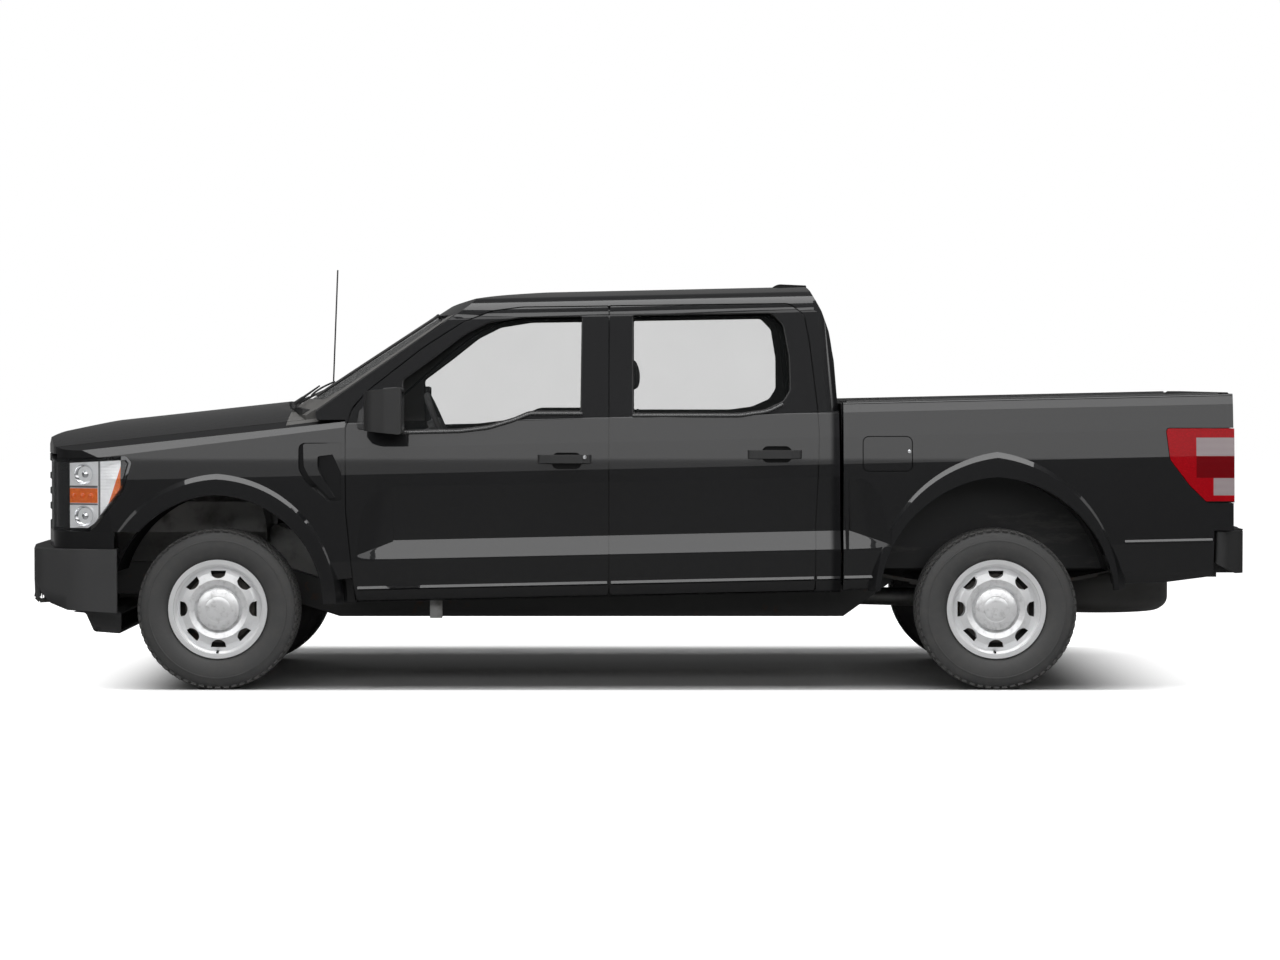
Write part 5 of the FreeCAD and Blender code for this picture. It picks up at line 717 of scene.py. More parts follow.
def buildTyre(end, side):
    look = tyreLook
    centre = wheelPlace(end, side)
    bm = bmesh.new()
    half = look["carcass"]
    addTurned(bm, half + [(-across, radius) for across, radius in reversed(half)], centre, 96)
    pitch = math.tau / look["pitches"]
    reach = look["blockLength"] / 2
    for across, width, offset in look["rows"]:
        top = look["top"] - (look["outerDrop"] if abs(across) > look["outerRow"] else 0)
        block = addBox(bm, (-reach, across - width / 2, look["base"]), (reach, across + width / 2, top))
        for vert in block:  # the blocks narrow to their tops and lean a little across the tyre
            vert.co.x += vert.co.y * look["skew"]
            if vert.co.z > (look["top"] + look["base"]) / 2:
                vert.co.x *= look["topTaper"]
        place = Matrix.Translation(centre) @ Matrix.Rotation(pitch * offset, 4, "Y")
        bmesh.ops.transform(bm, matrix=place, verts=block)
        addRing(bm, block, centre, look["pitches"])
    corner = Vector(look["lug"])
    lugY, lugRadius = look["lugPlace"]
    for across in (-1, 1):  # lugs that run down the shoulders
        lug = addBox(bm, -corner, corner)
        tilt = Matrix.Rotation(across * math.radians(look["lugTilt"]), 4, "X")
        place = Matrix.Translation(centre) @ Matrix.Translation((0, across * lugY, lugRadius)) @ tilt
        bmesh.ops.transform(bm, matrix=place, verts=lug)
        addRing(bm, lug, centre, look["pitches"])
    name = f"tyreTread{end.title()}{sideName[side]}"
    piece = addPiece(name, bm, "tyreRubber", wheelBody(end, side), 28)
    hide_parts(f"tyre_{end}_{nodeSide[side]}")


for end in truck["ends"]:
    for side in truck["sides"]:
        buildTyre(end, side)
print("tyres built")

# wheel dressing: hub cap, valve, brake disc and its shield, as (outwards, radius) from the wheel's middle
wheelTrim = {
    "cap": [
        (0.0780, 0.1000), (0.0835, 0.0985), (0.0862, 0.0945), (0.0905, 0.0700), (0.0922, 0.0620),
        (0.0915, 0.0600), (0.0935, 0.0560), (0.0950, 0.0380), (0.0957, 0.0180), (0.0960, 0.0000),
    ],
    "disc": [
        (-0.0080, 0.0320), (-0.0080, 0.0740), (-0.0100, 0.0770), (-0.0165, 0.0785), (-0.0165, 0.1925),
        (-0.0180, 0.1940), (-0.0270, 0.1940), (-0.0285, 0.1925), (-0.0285, 0.0760), (-0.0200, 0.0720),
        (-0.0140, 0.0320), (-0.0080, 0.0320),
    ],
    "shieldReach": {"front": 0.098, "rear": 0.199},
    "valveFoot": (-0.004, 0.066, -0.2035),
    "valveDroop": -0.002,
}


def buildWheelTrim(end, side):
    centre = wheelPlace(end, side)
    outward = Vector((0, side, 0))
    title = end.title() + sideName[side]
    cap = bmesh.new()
    addTurned(cap, wheelTrim["cap"], centre, 72, axis=outward)
    addPiece("hubCap" + title, cap, "wheelSilver", wheelBody(end, side))
    valve = bmesh.new()
    footX, footOut, footZ = wheelTrim["valveFoot"]
    foot = centre + outward * footOut + Vector((footX, 0, footZ))
    droop = Vector((0, 0, wheelTrim["valveDroop"]))
    addRod(valve, foot, foot + outward * 0.020 + droop, 0.0062, 0.0045, 14)
    addRod(valve, foot + outward * 0.018, foot + outward * 0.030 + droop, 0.0052, 0.0046, 14)
    addPiece("valve" + title, valve, "sealRubber", wheelBody(end, side), 40)


def buildBrake(end, side):
    centre = wheelPlace(end, side)
    outward = Vector((0, side, 0))
    title = end.title() + sideName[side]
    disc = bmesh.new()
    addTurned(disc, wheelTrim["disc"], centre, axis=outward)
    addPiece("brakeDisc" + title, disc, "castIron", wheelBody(end, side))
    shield = bmesh.new()
    reach = wheelTrim["shieldReach"][end]
    rings = [
        (-0.0335, 0.0303), (-0.0335, reach - 0.003), (-0.0350, reach - 0.0005), (-0.0480, reach),
        (-0.0480, reach - 0.002), (-0.0370, reach - 0.003), (-0.0365, 0.0303), (-0.0335, 0.0303),
    ]
    addTurned(shield, rings, centre, axis=outward)
    carrier = f"knuckle_{nodeSide[side]}" if end == "front" else "chassis"
    addPiece("brakeShield" + title, shield, "frameBlack", carrier)


for end in truck["ends"]:
    for build in (buildWheelTrim, buildBrake):
        for side in truck["sides"]:
            build(end, side)
print("wheel trim built")

# window seals and belt mouldings on the doors, as (x, z) along each opening
windowLines = {
    "front": [
        (-1.111, 1.469), (-0.958, 1.582), (-0.822, 1.688), (-0.706, 1.746), (-0.543, 1.772), (-0.252, 1.776),
        (-0.256, 1.317), (-0.504, 1.317), (-0.584, 1.283), (-0.699, 1.249), (-0.831, 1.233), (-1.111, 1.226),
    ],
    "rear": [
        (-0.017, 1.781), (0.652, 1.792), (0.709, 1.734), (0.736, 1.581), (0.739, 1.421), (0.704, 1.364),
        (0.612, 1.323), (0.496, 1.307), (-0.017, 1.307),
    ],
    "belts": {
        "front": [
            (-0.252, 1.309), (-0.500, 1.309), (-0.580, 1.277), (-0.697, 1.242), (-0.830, 1.226),
            (-1.106, 1.219),
        ],
        "rear": [(0.700, 1.354), (0.640, 1.324), (0.608, 1.316), (0.494, 1.300), (-0.014, 1.300)],
    },
    "sealSunk": 0.010,
    "beltProud": 0.001,
}


# closely spaced points along an outline, so that a bead follows its corners
def dense(points, closed, step=0.03):
    made = []
    corners = points + points[:1] if closed else points
    for start, stop in zip(corners, corners[1:]):
        start, stop = Vector(start), Vector(stop)
        count = max(1, int((stop - start).length / step))
        made += [start.lerp(stop, index / count) for index in range(count)]
    return made if closed else made + [Vector(points[-1])]


# points along a line on the body's side, stood off the skin
def onSkin(points, side, proud, closed):
    return [(x, side * (skinY(x, z) + proud), z) for x, z in dense(points, closed)]


def buildSeals(side):
    for end in truck["ends"]:
        body = f"{end}_door_{nodeSide[side]}"
        seal = onSkin(windowLines[end], side, -windowLines["sealSunk"], True)
        addBead(f"{end}WindowSeal{sideName[side]}", seal, 0.0065, "sealRubber", body, True)
        belt = onSkin(windowLines["belts"][end], side, windowLines["beltProud"], False)
        addBead(f"{end}BeltMoulding{sideName[side]}", belt, 0.0085, "glossBlack", body)


for side in truck["sides"]:
    buildSeals(side)
print("window seals built")

# mirrors: the glass in each housing, as the lowest and highest corner on the right side
mirrorLook = {"low": (-1.1010, 1.036, 1.238), "high": (-1.0975, 1.194, 1.409), "corner": 0.03}


def buildMirror(side):
    bm = bmesh.new()
    addBox(bm, mirrorLook["low"], mirrorLook["high"])
    corners = [edge for edge in bm.edges if abs(edge.verts[0].co.x - edge.verts[1].co.x) > 0.003]
    rounded(bm, corners, mirrorLook["corner"], 6)
    if side < 0:
        bmesh.ops.scale(bm, vec=(1, -1, 1), verts=bm.verts)
    addPiece("mirrorGlass" + sideName[side], bm, "mirrorGlass", f"front_door_{nodeSide[side]}")


for side in truck["sides"]:
    buildMirror(side)

# headlamps: a shell of clear lens over a moulded housing, with two bowls and three amber bulbs between them
headlampLook = {
    "sink": 0.024,
    "bowlRadius": 0.050,
    # (across, share of the radius) from the bowl's rim to the middle of its reflector cap
    "bowlProfile": [
        (0.004, 1.00), (-0.002, 0.94), (-0.016, 0.62), (-0.022, 0.40), (-0.012, 0.38), (-0.006, 0.30),
        (-0.003, 0.15), (-0.002, 0.0),
    ],
    "bowls": [(-2.616, -0.9464, 1.022), (-2.616, -0.9464, 0.824)],
    "aim": (-0.347, -0.938, 0.02),
    "bulbRadius": 0.0125,
    "bulbs": [(-2.672, 0.917, 0.921), (-2.628, 0.93284, 0.921), (-2.584, 0.94868, 0.921)],
}


# a solid of the frame with its loose triangles joined
def mergedCopy(node):
    bm = bmesh.new()
    bm.from_mesh(nodes[node].data)
    bmesh.ops.remove_doubles(bm, verts=bm.verts, dist=0.00005)
    bmesh.ops.dissolve_limit(bm, angle_limit=math.radians(1.0), verts=bm.verts, edges=bm.edges)
    bmesh.ops.triangulate(bm, faces=bm.faces)
    bmesh.ops.recalc_face_normals(bm, faces=bm.faces)
    bm.normal_update()
    return bm


# whether a face of the lamp looks back at the engine or at the truck's middle
def looksInward(face):
    across = face.normal.y
    return face.normal.x > 0.5 or abs(across) > 0.6 and across * face.calc_center_median().y < 0


def buildHeadlamps():
    look = headlampLook
    lens = mergedCopy("headlamps")
    bmesh.ops.delete(lens, geom=[face for face in lens.faces if looksInward(face)], context="FACES")
    shell = addPiece("headlampLenses", lens, "lampLens", "chassis", 25)
    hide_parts("headlamps")
    housing = mergedCopy("headlamps")
    for vert in housing.verts:
        vert.co -= vert.normal * look["sink"]
    addPiece("headlampHousings", housing, "lampInside", "chassis", 25)
    bowls = bmesh.new()
    bulbs = bmesh.new()
    profile = [(across, look["bowlRadius"] * share) for across, share in look["bowlProfile"]]
    for side in truck["sides"]:
        aim = Vector(look["aim"]).normalized()
        aim.y *= -side
        start = aim.cross(Vector((0, 0, 1))).normalized()
        for x, y, z in look["bowls"]:
            addTurned(bowls, profile, (x, -side * y, z), 40, axis=aim, start=start)
        for x, y, z in look["bulbs"]:
            addBall(bulbs, (x, side * y, z), look["bulbRadius"])
    addPiece("headlampBowls", bowls, "lampChrome")
    addPiece("headlampAmberBulbs", bulbs, "amberLens", "chassis", 40)


buildHeadlamps()
print("headlamps built")

# ledges: the crease that runs along the foot of the doors and behind the rear wheel
ledgeLook = {
    "sill": [(0.5215, 0.9795), (0.508, 0.9905), (0.499, 0.970), (0.510, 0.966)],
    "tail": [(0.6645, 0.9995), (0.651, 1.0105), (0.641, 0.999), (0.652, 0.994)],
    "runs": [
        ("FrontDoor", "front_door", "sill", -1.318, -0.135),
        ("RearDoor", "rear_door", "sill", -0.117, 0.845),
        ("Cab", None, "sill", 0.860, 0.968),
        ("BedFront", None, "sill", 0.989, 1.122),
        ("BedRear", None, "tail", 2.315, 2.730),
    ],
}


def buildLedges(side):
    for name, door, row, start, stop in ledgeLook["runs"]:
        bm = bmesh.new()
        outline = [(start, side * across, level + start * truck["rake"]) for level, across in ledgeLook[row]]
        addSlab(bm, outline, (stop - start, 0, (stop - start) * truck["rake"]))
        body = f"{door}_{nodeSide[side]}" if door else "chassis"
        addPiece(f"ledge{name}{sideName[side]}", bm, "bodyPaint", body, 20)


for side in truck["sides"]:
    buildLedges(side)
print("ledges built")

# grille: upright fins and thin bars across them, behind the main bars; it sweeps back by bow at bowAt
grilleLook = {
    "x": -2.790, "width": 0.60, "low": 0.775, "high": 1.092, "fins": 34, "finHalf": 0.0022, "finDepth": 0.016,
    "rows": 9, "barAt": (0, 0.15, 0.3, 0.45, 0.6), "barSunk": 0.003, "barDepth": 0.010, "barHeight": 0.0042,
    "bow": 0.045, "bowAt": 0.65,
}


def grilleX(y):
    return grilleLook["x"] + grilleLook["bow"] * (y / grilleLook["bowAt"]) ** 2


def buildGrilleMesh():
    look = grilleLook
    bm = bmesh.new()
    step = 2 * look["width"] / (look["fins"] - 1)
    for index in range(look["fins"]):
        y = -look["width"] + index * step
        x = grilleX(y)
        half, depth = look["finHalf"], look["finDepth"]
        addBox(bm, (x, y - half, look["low"]), (x + depth, y + half, look["high"]))
    rise = (look["high"] - look["low"]) / look["rows"]
    for index in range(1, look["rows"]):
        z = look["low"] + index * rise
        for side in truck["sides"]:
            outline = [(grilleX(y) + look["barSunk"], side * y, z) for y in look["barAt"]]
            outline += [(x + look["barDepth"], y, z) for x, y, z in reversed(outline)]
            addSlab(bm, outline, (0, 0, look["barHeight"]))
    addPiece("grilleMesh", bm, "blackPlastic", "chassis")


buildGrilleMesh()
print("grille built")

# windscreen: the seal round its glass, and two wipers, each from (y, z) to (y, z) with its pivot's y
screenLook = {
    "base": (-1.673, 1.345), "slope": 0.643, "bow": 4.147,
    "border": [
        (0.790, 1.392), (0.752, 1.500), (0.718, 1.600), (0.684, 1.700), (0.655, 1.770), (0.560, 1.783),
        (0.0, 1.783),
    ],
    "borderProud": 0.001,
    "wipers": [(-0.62, 1.388, 0.04, 1.452, -0.64), (0.10, 1.384, 0.66, 1.430, 0.07)],
    "bladeRuns": 14, "bladeProud": 0.009, "pivotZ": 1.335, "pivotProud": 0.020,
}


# a point on the windscreen, stood off its glass
def screenPoint(y, z, proud):
    baseX, baseZ = screenLook["base"]
    x = baseX + (z - baseZ) / screenLook["slope"] + y * y / (2 * screenLook["bow"])
    tilt = math.atan(screenLook["slope"])
    return Vector((x - math.sin(tilt) * proud, y, z + math.cos(tilt) * proud))


def buildWipers():
    look = screenLook
    arms = bmesh.new()
    runs = look["bladeRuns"]
    for startY, startZ, stopY, stopZ, pivotY in look["wipers"]:
        blade = []
        for index in range(runs + 1):
            share = index / runs
            y = startY + (stopY - startY) * share
            z = startZ + (stopZ - startZ) * share
            blade.append(screenPoint(y, z, look["bladeProud"]))
        for first, second in zip(blade, blade[1:]):
            addRod(arms, first, second, 0.0048, None, 8)
        pivot = screenPoint(pivotY, look["pivotZ"], look["pivotProud"])
        middle = blade[runs // 2] + Vector((-0.006, 0, 0.012))
        addRod(arms, pivot, pivot + (middle - pivot) * 0.35, 0.010, 0.008, 12)
        addRod(arms, pivot + (middle - pivot) * 0.33, middle, 0.0065, 0.004, 10)
        addRod(arms, pivot - Vector((0, 0, 0.02)), pivot + Vector((-0.004, 0, 0.012)), 0.016, 0.013, 20)
    addPiece("wipers", arms, "blackPlastic", "chassis", 40)


def buildScreenSeal():
    border, proud = screenLook["border"], screenLook["borderProud"]
    line = [screenPoint(-y, z, proud) for y, z in border]
    line += [screenPoint(y, z, proud) for y, z in reversed(border[:-1])]
    addBead("windscreenSeal", line, 0.0075, "sealRubber", "chassis")


buildWipers()
buildScreenSeal()

# door trim: inner cards with armrest, speaker and pull, and the locks
doorLook = {
    "cards": {"front": (-1.215, -0.255), "rear": (-0.020, 0.700)},
    "cardTop": {"front": (1.205, 1.225), "rear": (1.262, 1.262)},
    "cardY": 0.868,
    "cardThick": 0.008,
    "restDeep": 0.050,
    # each as (across, radius), from the middle of its face outwards
    "speaker": [
        (0.0, 0.0), (0.003, 0.03), (0.0045, 0.060), (0.0015, 0.066), (0.006, 0.070), (0.005, 0.078),
        (-0.002, 0.081),
    ],
    "lock": [
        (0, 0), (0, 0.0035), (-0.0007, 0.0042), (0, 0.0052), (0, 0.0078), (-0.002, 0.009), (-0.008, 0.009),
    ],
    "catch": [(0, 0), (0, 0.003), (-0.001, 0.0045), (0, 0.0062), (-0.0015, 0.0082), (-0.006, 0.0082)],
    "lockPlace": (-0.2405, 1.0095, 1.1045),
    "catchPlace": (1.296, 1.131),
    "catchProud": 0.0025,
}


def buildDoorTrim(end, side):
    body = f"{end}_door_{nodeSide[side]}"
    low, high = doorLook["cards"][end]
    frontTop, rearTop = doorLook["cardTop"][end]
    inner = doorLook["cardY"]
    card = bmesh.new()
    outline = [
        (low, 0.62), (low, frontTop), (high - 0.03, rearTop), (high, frontTop - 0.02), (high, 0.60),
        (high - 0.04, 0.575), (low + 0.05, 0.575),
    ]
    addSlab(card, [(x, side * inner, z) for x, z in outline], (0, -side * doorLook["cardThick"], 0))
    softened(card, 0.003, 2, 40)
    addPiece(f"{end}DoorCard{sideName[side]}", card, "cabinPlastic", body)
    rest = bmesh.new()
    outline = [
        (low + 0.20, 0.905), (low + 0.24, 0.945), (high - 0.14, 0.962), (high - 0.07, 0.950),
        (high - 0.05, 0.905), (high - 0.10, 0.885), (low + 0.26, 0.875),
    ]
    addSlab(rest, [(x, side * (inner - 0.006), z) for x, z in outline], (0, -side * doorLook["restDeep"], 0))
    softened(rest, 0.012, 4)
    addPiece(f"{end}DoorArmrest{sideName[side]}", rest, "seatBolster", body, 40)
    speaker = bmesh.new()
    profile = [(-side * across, radius) for across, radius in doorLook["speaker"]]
    addTurned(speaker, profile, (low + 0.17, side * (inner - 0.008), 0.735), 48)
    pull = [(low + 0.30, side * (inner - 0.012), 1.03), (low + 0.40, side * (inner - 0.026), 1.03)]
    addRod(speaker, *pull, 0.009, 0.006, 14)
    addPiece(f"{end}DoorSpeaker{sideName[side]}", speaker, "cabinPlastic", body, 35)


def buildLocks():
    x, y, z = doorLook["lockPlace"]
    for side in truck["sides"]:
        lock = bmesh.new()
        addTurned(lock, doorLook["lock"], (x, side * y, z), 28, axis=(0, side, 0))
        addPiece("doorLock" + sideName[side], lock, "brightSteel", f"front_door_{nodeSide[side]}")
    catch = bmesh.new()
    x, z = doorLook["catchPlace"]
    addTurned(catch, doorLook["catch"], (x, -skinY(x, z) - doorLook["catchProud"], z), 28, axis=(0, -1, 0))
    addPiece("flapCatch", catch, "brightSteel", "fuel_flap")


for end in truck["ends"]:
    for side in truck["sides"]:
        buildDoorTrim(end, side)
buildLocks()
print("door trim built")

# seats: a cushion, back and head restraint each, crowned and pulled in along sewn channels
seatLook = {
    "cell": 0.013,
    "frames": 12,
    "pressure": 4.0,
    "stiffness": 40,
    "bendStiffness": 4,
    "swellLimit": 0.011,
    "fill": 0.6,
    "channelDepth": 0.0075,
    "channelWidth": 0.0085,
    "channelAt": 0.62,
    "headChannelAt": 0.86,
    "cushionSeams": (0.10, 0.20, 0.30),
    "cushionTop": 0.86,
    "backSeams": (0.30, 0.52, 0.74),
    "front": {
        "x": -0.685, "half": 0.262, "middles": (-0.435, 0.435), "heads": (-0.435, 0.435), "headHalf": 0.138,
        "cushion": [
            (0.000, 0.735), (-0.006, 0.835), (0.045, 0.872), (0.300, 0.862), (0.455, 0.846), (0.515, 0.790),
            (0.500, 0.715),
        ],
        "back": [
            (0.452, 0.870), (0.560, 1.365), (0.640, 1.372), (0.682, 1.330), (0.582, 0.860),
            (0.520, 0.820),
        ],
        "head": [
            (0.596, 1.428), (0.606, 1.560), (0.640, 1.580), (0.694, 1.560), (0.704, 1.430),
            (0.660, 1.415),
        ],
    },
    "rear": {
        "x": 0.0, "half": 0.2235, "middles": (-0.455, 0.0, 0.455), "heads": (-0.42, 0.42), "headHalf": 0.128,
        "cushion": [
            (0.302, 0.740), (0.298, 0.835), (0.345, 0.872), (0.560, 0.862), (0.690, 0.850), (0.735, 0.800),
            (0.700, 0.725),
        ],
        "back": [
            (0.712, 0.872), (0.776, 1.318), (0.828, 1.326), (0.868, 1.300), (0.842, 0.868),
            (0.780, 0.830),
        ],
        "head": [
            (0.784, 1.378), (0.790, 1.470), (0.818, 1.485), (0.862, 1.470), (0.872, 1.380),
            (0.830, 1.366),
        ],
    },
}


def applied(piece, kind, settings):
    modifier = piece.modifiers.new(kind.title(), kind)
    for key, value in settings.items():
        setattr(modifier, key, value)
    bpy.ops.object.modifier_apply(modifier=modifier.name)


# swells a closed form by cloth under pressure; no point moves further than the limit
def stuffed(piece):
    start = [vert.co.copy() for vert in piece.data.vertices]
    cloth = piece.modifiers.new("Stuffing", "CLOTH")
    cloth.settings.use_pressure = True
    cloth.settings.uniform_pressure_force = seatLook["pressure"]
    cloth.settings.effector_weights.gravity = 0
    cloth.settings.quality = 5
    cloth.settings.tension_stiffness = seatLook["stiffness"]
    cloth.settings.compression_stiffness = seatLook["stiffness"]
    cloth.settings.bending_stiffness = seatLook["bendStiffness"]
    cloth.point_cache.frame_start = 1
    cloth.point_cache.frame_end = seatLook["frames"]
    for step in range(1, seatLook["frames"] + 1):
        bpy.context.scene.frame_set(step)
    bpy.ops.object.modifier_apply(modifier=cloth.name)
    bpy.context.scene.frame_set(1)
    for vert, old in zip(piece.data.vertices, start):
        move = vert.co - old
        if move.length > seatLook["swellLimit"]:
            vert.co = old + move * (seatLook["swellLimit"] / move.length)


# pulls the cover in along channels: upright ones at a place across, and cross ones as (point, run) in x and z
def sewn(mesh, middle, uprights, crossings):
    width = seatLook["channelWidth"]
    pulls = []
    for vert in mesh.vertices:
        across = abs(vert.co.y - middle)
        gaps = [across - place for place in uprights]
        if across < max(uprights):
            gaps += [(vert.co.x - x) * runX + (vert.co.z - z) * runZ for (x, z), (runX, runZ) in crossings]
        pulls.append(max(math.exp(-((gap / width) ** 2)) for gap in gaps))
    normals = [vert.normal.copy() for vert in mesh.vertices]
    for vert, normal, pull in zip(mesh.vertices, normals, pulls):
        vert.co -= normal * seatLook["channelDepth"] * pull


def addPadding(name, outline, middle, half, uprights, crossings):
    bm = bmesh.new()
    addSlab(bm, [(x, middle - half, z) for x, z in outline], (0, 2 * half, 0))
    softened(bm, 0.022, 3, 25)
    bmesh.ops.recalc_face_normals(bm, faces=bm.faces)
    piece = newObject(name, newMesh(name, bm))
    bpy.context.view_layer.objects.active = piece
    piece.select_set(True)
    applied(piece, "REMESH", {"mode": "VOXEL", "voxel_size": seatLook["cell"]})
    stuffed(piece)
    applied(piece, "SUBSURF", {"levels": 1, "render_levels": 1})
    piece.select_set(False)
    sewn(piece.data, middle, uprights, crossings)
    piece.data.shade_smooth()
    piece.data.materials.append(finishes["seatCloth"].material)
    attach(piece, "chassis")
    return piece


def shifted(outline, x):
    return [(x + along, up) for along, up in outline]


def buildSeats(row):
    look = seatLook[row]
    cushion, back, head = (shifted(look[part], look["x"]) for part in ("cushion", "back", "head"))
    (footX, footZ), (topX, topZ) = back[:2]
    up = Vector((topX - footX, topZ - footZ)).normalized()
    seamZ = seatLook["cushionTop"]
    cushionSeams = [((cushion[2][0] + along, seamZ), (1, 0)) for along in seatLook["cushionSeams"]]
    backSeams = [
        ((footX + (topX - footX) * share, footZ + (topZ - footZ) * share), (up.x, up.y))
        for share in seatLook["backSeams"]
    ]
    half = look["half"]
    uprights = [half * seatLook["channelAt"]]
    made = []
    for number, middle in enumerate(look["middles"], start=1):
        made.append(addPadding(f"{row}SeatCushion{number}", cushion, middle, half, uprights, cushionSeams))
        addPadding(f"{row}SeatBack{number}", back, middle, half, uprights, backSeams)
    uprights = [look["headHalf"] * seatLook["headChannelAt"]]
    for number, middle in enumerate(look["heads"], start=1):
        addPadding(f"{row}HeadRestraint{number}", head, middle, look["headHalf"], uprights, [])
    return made[0]


firstCushion = buildSeats("front")
buildSeats("rear")
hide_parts("seats")
print("seats stuffed")

# frames under and behind the padding, and the console between the front seats, as (x, z) outlines
seatFrameLook = {
    "pan": [
        (0.01, 0.660), (-0.002, 0.720), (0.02, 0.742), (0.50, 0.722), (0.575, 0.850), (0.625, 0.845),
        (0.580, 0.690), (0.510, 0.640),
    ],
    "panHalf": 0.245,
    "backShell": [(0.600, 0.880), (0.690, 1.320), (0.702, 1.318), (0.625, 0.870)],
    "backHalf": 0.225,
    "railAt": (-0.215, 0.215),
    "railHalf": 0.020,
    "floor": 0.5215,
    "postRadius": 0.0065,
    "frontPosts": ((0.630, 1.330), (0.648, 1.470), 0.055),
    "rearPosts": ((0.822, 1.300), (0.828, 1.400), 0.045),
}
consoleLook = {
    "outline": [
        (-1.10, 0.5215), (-1.10, 0.80), (-1.02, 0.845), (-0.66, 0.835), (-0.60, 0.875), (-0.20, 0.885),
        (-0.17, 0.84), (-0.19, 0.5215),
    ],
    "half": 0.125,
    "leverFoot": (-0.93, 0.02, 0.835), "leverTop": (-0.955, 0.02, 0.945),
    "knob": (-0.957, 0.02, 0.955), "knobRadius": 0.026, "knobStretch": (0.8, 1, 1.2),
}


def addPosts(bm, x, middle, posts):
    (footX, footZ), (topX, topZ), half = posts
    for across in (-half, half):
        foot, top = (x + footX, middle + across, footZ), (x + topX, middle + across, topZ)
        addRod(bm, foot, top, seatFrameLook["postRadius"], None, 14)


def buildSeatFrames():
    look = seatFrameLook
    bm = bmesh.new()
    x, floor = seatLook["front"]["x"], look["floor"]
    for middle in seatLook["front"]["middles"]:
        half = look["panHalf"]
        addSlab(bm, [(x + along, middle - half, z) for along, z in look["pan"]], (0, 2 * half, 0))
        for rail in look["railAt"]:
            y = middle + rail
            addBox(bm, (x + 0.05, y - look["railHalf"], floor), (x + 0.50, y + look["railHalf"], 0.665))
        half = look["backHalf"]
        addSlab(bm, [(x + along, middle - half, z) for along, z in look["backShell"]], (0, 2 * half, 0))
        addPosts(bm, x, middle, look["frontPosts"])
    addBox(bm, (0.36, -0.64, floor), (0.76, 0.64, 0.745))
    addBox(bm, (0.770, -0.655, 0.74), (0.800, 0.655, 0.88))
    for middle in seatLook["rear"]["heads"]:
        addPosts(bm, seatLook["rear"]["x"], middle, look["rearPosts"])
    softened(bm, 0.005, 2, 50)
    addPiece("seatFrames", bm, "cabinPlastic", "chassis", 35)


def buildConsole():
    look = consoleLook
    bm = bmesh.new()
    addSlab(bm, [(x, -look["half"], z) for x, z in look["outline"]], (0, 2 * look["half"], 0))
    softened(bm, 0.012, 3, 40)
    addRod(bm, look["leverFoot"], look["leverTop"], 0.011, 0.009, 18)
    addBall(bm, look["knob"], look["knobRadius"], look["knobStretch"])
    addPiece("centreConsole", bm, "cabinPlastic", "chassis", 35)


buildSeatFrames()
buildConsole()

# cabin: carpet and mats, the dashboard's screens, vents and knobs, pedals, stalks and the steering pad
cabinLook = {
    "carpet": ((-1.36, -0.855, 0.5205), (0.86, 0.855, 0.5245)),
    # each mat's middle, and its reach forwards and rearwards
    "mats": [
        (-0.92, -0.50, 0.24, 0.19), (-0.92, 0.50, 0.24, 0.19), (0.15, -0.50, 0.13, 0.13),
        (0.15, 0.50, 0.13, 0.13),
    ],
    "matHalf": 0.24,
    "matTop": 0.010,
    # middle, half width and half height
    "screens": [(-1.176, 0.0, 1.155, 0.125, 0.075), (-1.196, -0.40, 1.182, 0.160, 0.055)],
    "screenTilt": -12,
    "vents": [(-0.735, 0.045), (-0.165, 0.022), (0.165, 0.022), (0.735, 0.045)],
    "slats": 5, "slatFoot": 1.110, "slatStep": 0.018, "slatThick": 0.0035,
    "knobs": (-0.06, 0.0, 0.06),
    "pedals": [(-0.30, 0.63, 0.030), (-0.42, 0.67, 0.045)],
    "column": -0.40,
    "wheelMiddle": (-1.300, -0.400, 1.075), "wheelOut": 0.386, "wheelSlope": 0.42,
    "pad": [(0.000, 0.066), (0.008, 0.064), (0.015, 0.054), (0.019, 0.036), (0.021, 0.016), (0.0215, 0.0)],
}


def buildCarpet():
    carpet = bmesh.new()
    low, high = cabinLook["carpet"]
    addBox(carpet, low, high)
    half, floor = cabinLook["matHalf"], high[2]
    for x, y, forwards, rearwards in cabinLook["mats"]:
        top = floor + cabinLook["matTop"]
        mat = addBox(carpet, (x - forwards, y - half, floor + 0.0003), (x + rearwards, y + half, top))
        edges = dict.fromkeys(edge for vert in mat for edge in vert.link_edges)
        rounded(carpet, list(edges), 0.004, 2)
    addPiece("cabinCarpet", carpet, "floorCarpet", "chassis", 40)


def buildDashboard():
    look = cabinLook
    screens = bmesh.new()
    tilt = Matrix.Rotation(math.radians(look["screenTilt"]), 4, "Y")
    for x, y, z, wide, high in look["screens"]:
        addBox(screens, (x - 0.010, y - wide, z - high), (x + 0.012, y + wide, z + high), tilt)
    softened(screens, 0.006, 3, 40)
    addPiece("dashScreens", screens, "glossBlack", "chassis", 35)
    vents = bmesh.new()
    for y, half in look["vents"]:
        for slat in range(look["slats"]):
            z = look["slatFoot"] + slat * look["slatStep"]
            addBox(vents, (-1.205, y - half, z), (-1.168, y + half, z + look["slatThick"]))
    for y in look["knobs"]:
        addRod(vents, (-1.19, y, 1.045), (-1.155, y, 1.043), 0.017, 0.015)
    addPiece("dashVents", vents, "glossBlack")


